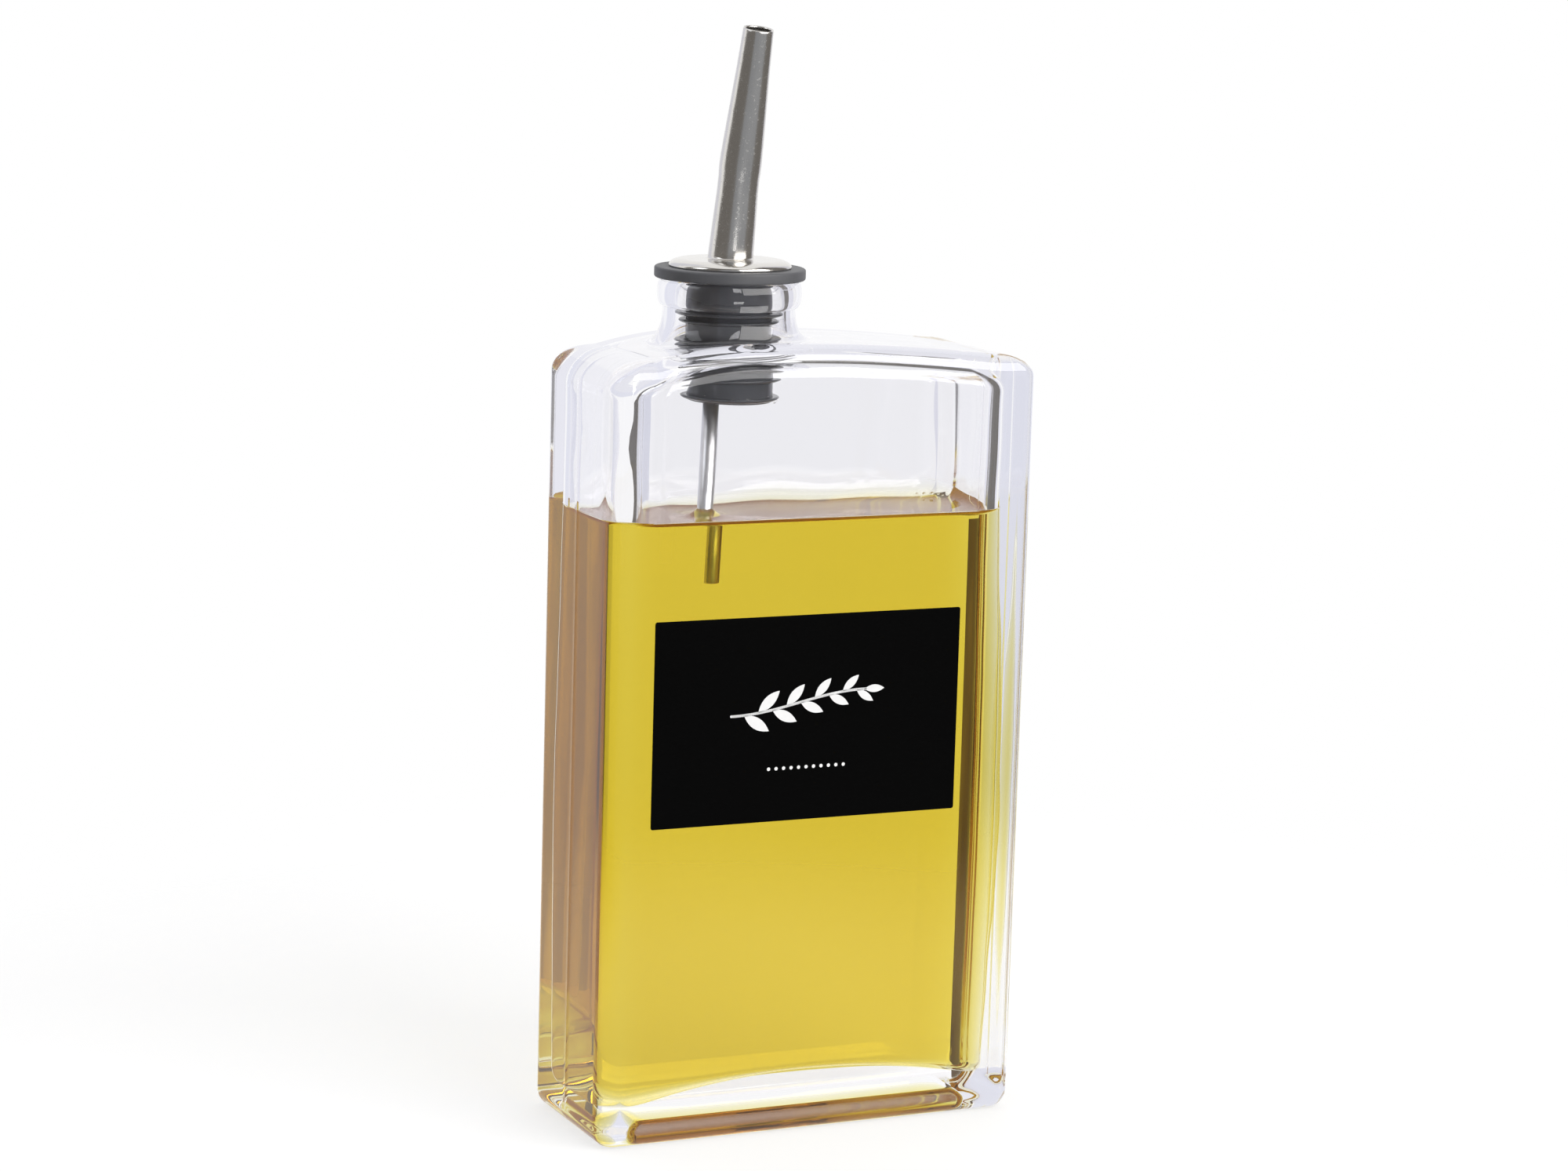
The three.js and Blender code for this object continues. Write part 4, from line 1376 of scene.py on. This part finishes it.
# %% The flags
# name, left and right edge, distance behind the back, top, dark and light colour
FLAGS = [
    ("side_flag", HALF_WIDTH + 1.6 * MM, HALF_WIDTH + 31.6 * MM, 4.0 * MM, OIL_LEVEL - 10.0 * MM,
     (0.62, 0.63, 0.62), (0.98, 1.0, 1.0)),
    ("corner_flag", HALF_WIDTH - 2.6 * MM, HALF_WIDTH, 1.0 * MM, OIL_LEVEL - 4.5 * MM,
     (0.12, 0.085, 0.05), (0.22, 0.165, 0.10)),
]
STREAK_SCALE = 260.0
STREAK_SHARE = 0.06
STREAK_LIMITS = (0.35, 0.65)


def streaked_glow(name, dark, light):
    """A finish that gives light in soft upright streaks."""
    finish, graph = new_finish(name)
    share = graph.span(graph.noise(STREAK_SCALE, 2.0, STREAK_SHARE), *STREAK_LIMITS)
    graph.surface(graph.light(graph.blend(share, (*dark, 1.0), (*light, 1.0))))
    return finish


def stand_flag(name, left, right_end, behind, top, dark, light):
    """An upright flag close behind the bottle, which throws no shadow and no light on the floor."""
    y = HALF_DEPTH + behind
    points = [(left, y, 0.0), (right_end, y, 0.0), (right_end, y, top), (left, y, top)]
    flag = stand_in_studio(name, points, [(0, 1, 2, 3)], streaked_glow(name, dark, light))
    flag.visible_diffuse = False
    flag.visible_shadow = False


for flag in FLAGS:
    stand_flag(*flag)
print("flags:", len(FLAGS))

# %% [markdown]
# ## Floor and room
# The room is plain white. The floor is a pale disc that glows a little, so that the shadow stays soft, and
# fades into the room at its edge. Light crosses many faces of glass and oil, so it may turn many times.

# %% Floor and room
FLOOR_RADIUS = 0.34
FLOOR_CLEAR_RADIUS = 0.15
FLOOR_GLOW = 0.70
FLOOR_SHADE = 0.35
FLOOR_SIDES = 96
FLOOR_DROP = 0.05 * MM
LIGHT_TURNS = {"max": 32, "glossy": 24, "transmission": 32, "transparent_max": 16}


def pale_floor():
    """A pale lit floor that fades into the white room."""
    finish, graph = new_finish("pale_floor")
    away = graph.node("ShaderNodeVectorMath", {"operation": "LENGTH"}, {0: graph.on_object()}, "Value")
    shares = {"Value": away, "From Min": FLOOR_CLEAR_RADIUS, "From Max": FLOOR_RADIUS}
    fade = graph.node("ShaderNodeMapRange", {"interpolation_type": "SMOOTHSTEP"}, shares)
    matt = graph.node("ShaderNodeBsdfDiffuse", inputs={"Color": grey(FLOOR_SHADE)})
    top = graph.node("ShaderNodeAddShader", inputs={0: matt, 1: graph.light(grey(1.0), FLOOR_GLOW)})
    graph.surface(graph.either(fade, top, graph.node("ShaderNodeBsdfTransparent")))
    return finish


floor_points = np.concatenate([[[0.0, 0.0]], circle(FLOOR_RADIUS, 0.0, FLOOR_SIDES)])
floor_faces = [(0, index + 1, (index + 1) % FLOOR_SIDES + 1) for index in range(FLOOR_SIDES)]
floor_mesh = mesh_of("floor", ring(floor_points, -FLOOR_DROP), floor_faces)
floor = bpy.data.objects.new("floor", floor_mesh)
floor_mesh.materials.append(pale_floor())
bpy.context.scene.collection.objects.link(floor)

world = bpy.data.worlds.new("white_room")
world.use_nodes = True
world.node_tree.nodes["Background"].inputs["Color"].default_value = grey(1.0)
world.node_tree.nodes["Background"].inputs["Strength"].default_value = 1.0
bpy.context.scene.world = world
bpy.context.scene.view_settings.view_transform = "Standard"
for kind, turns in LIGHT_TURNS.items():
    setattr(bpy.context.scene.cycles, kind + "_bounces", turns)
print("studio ready")
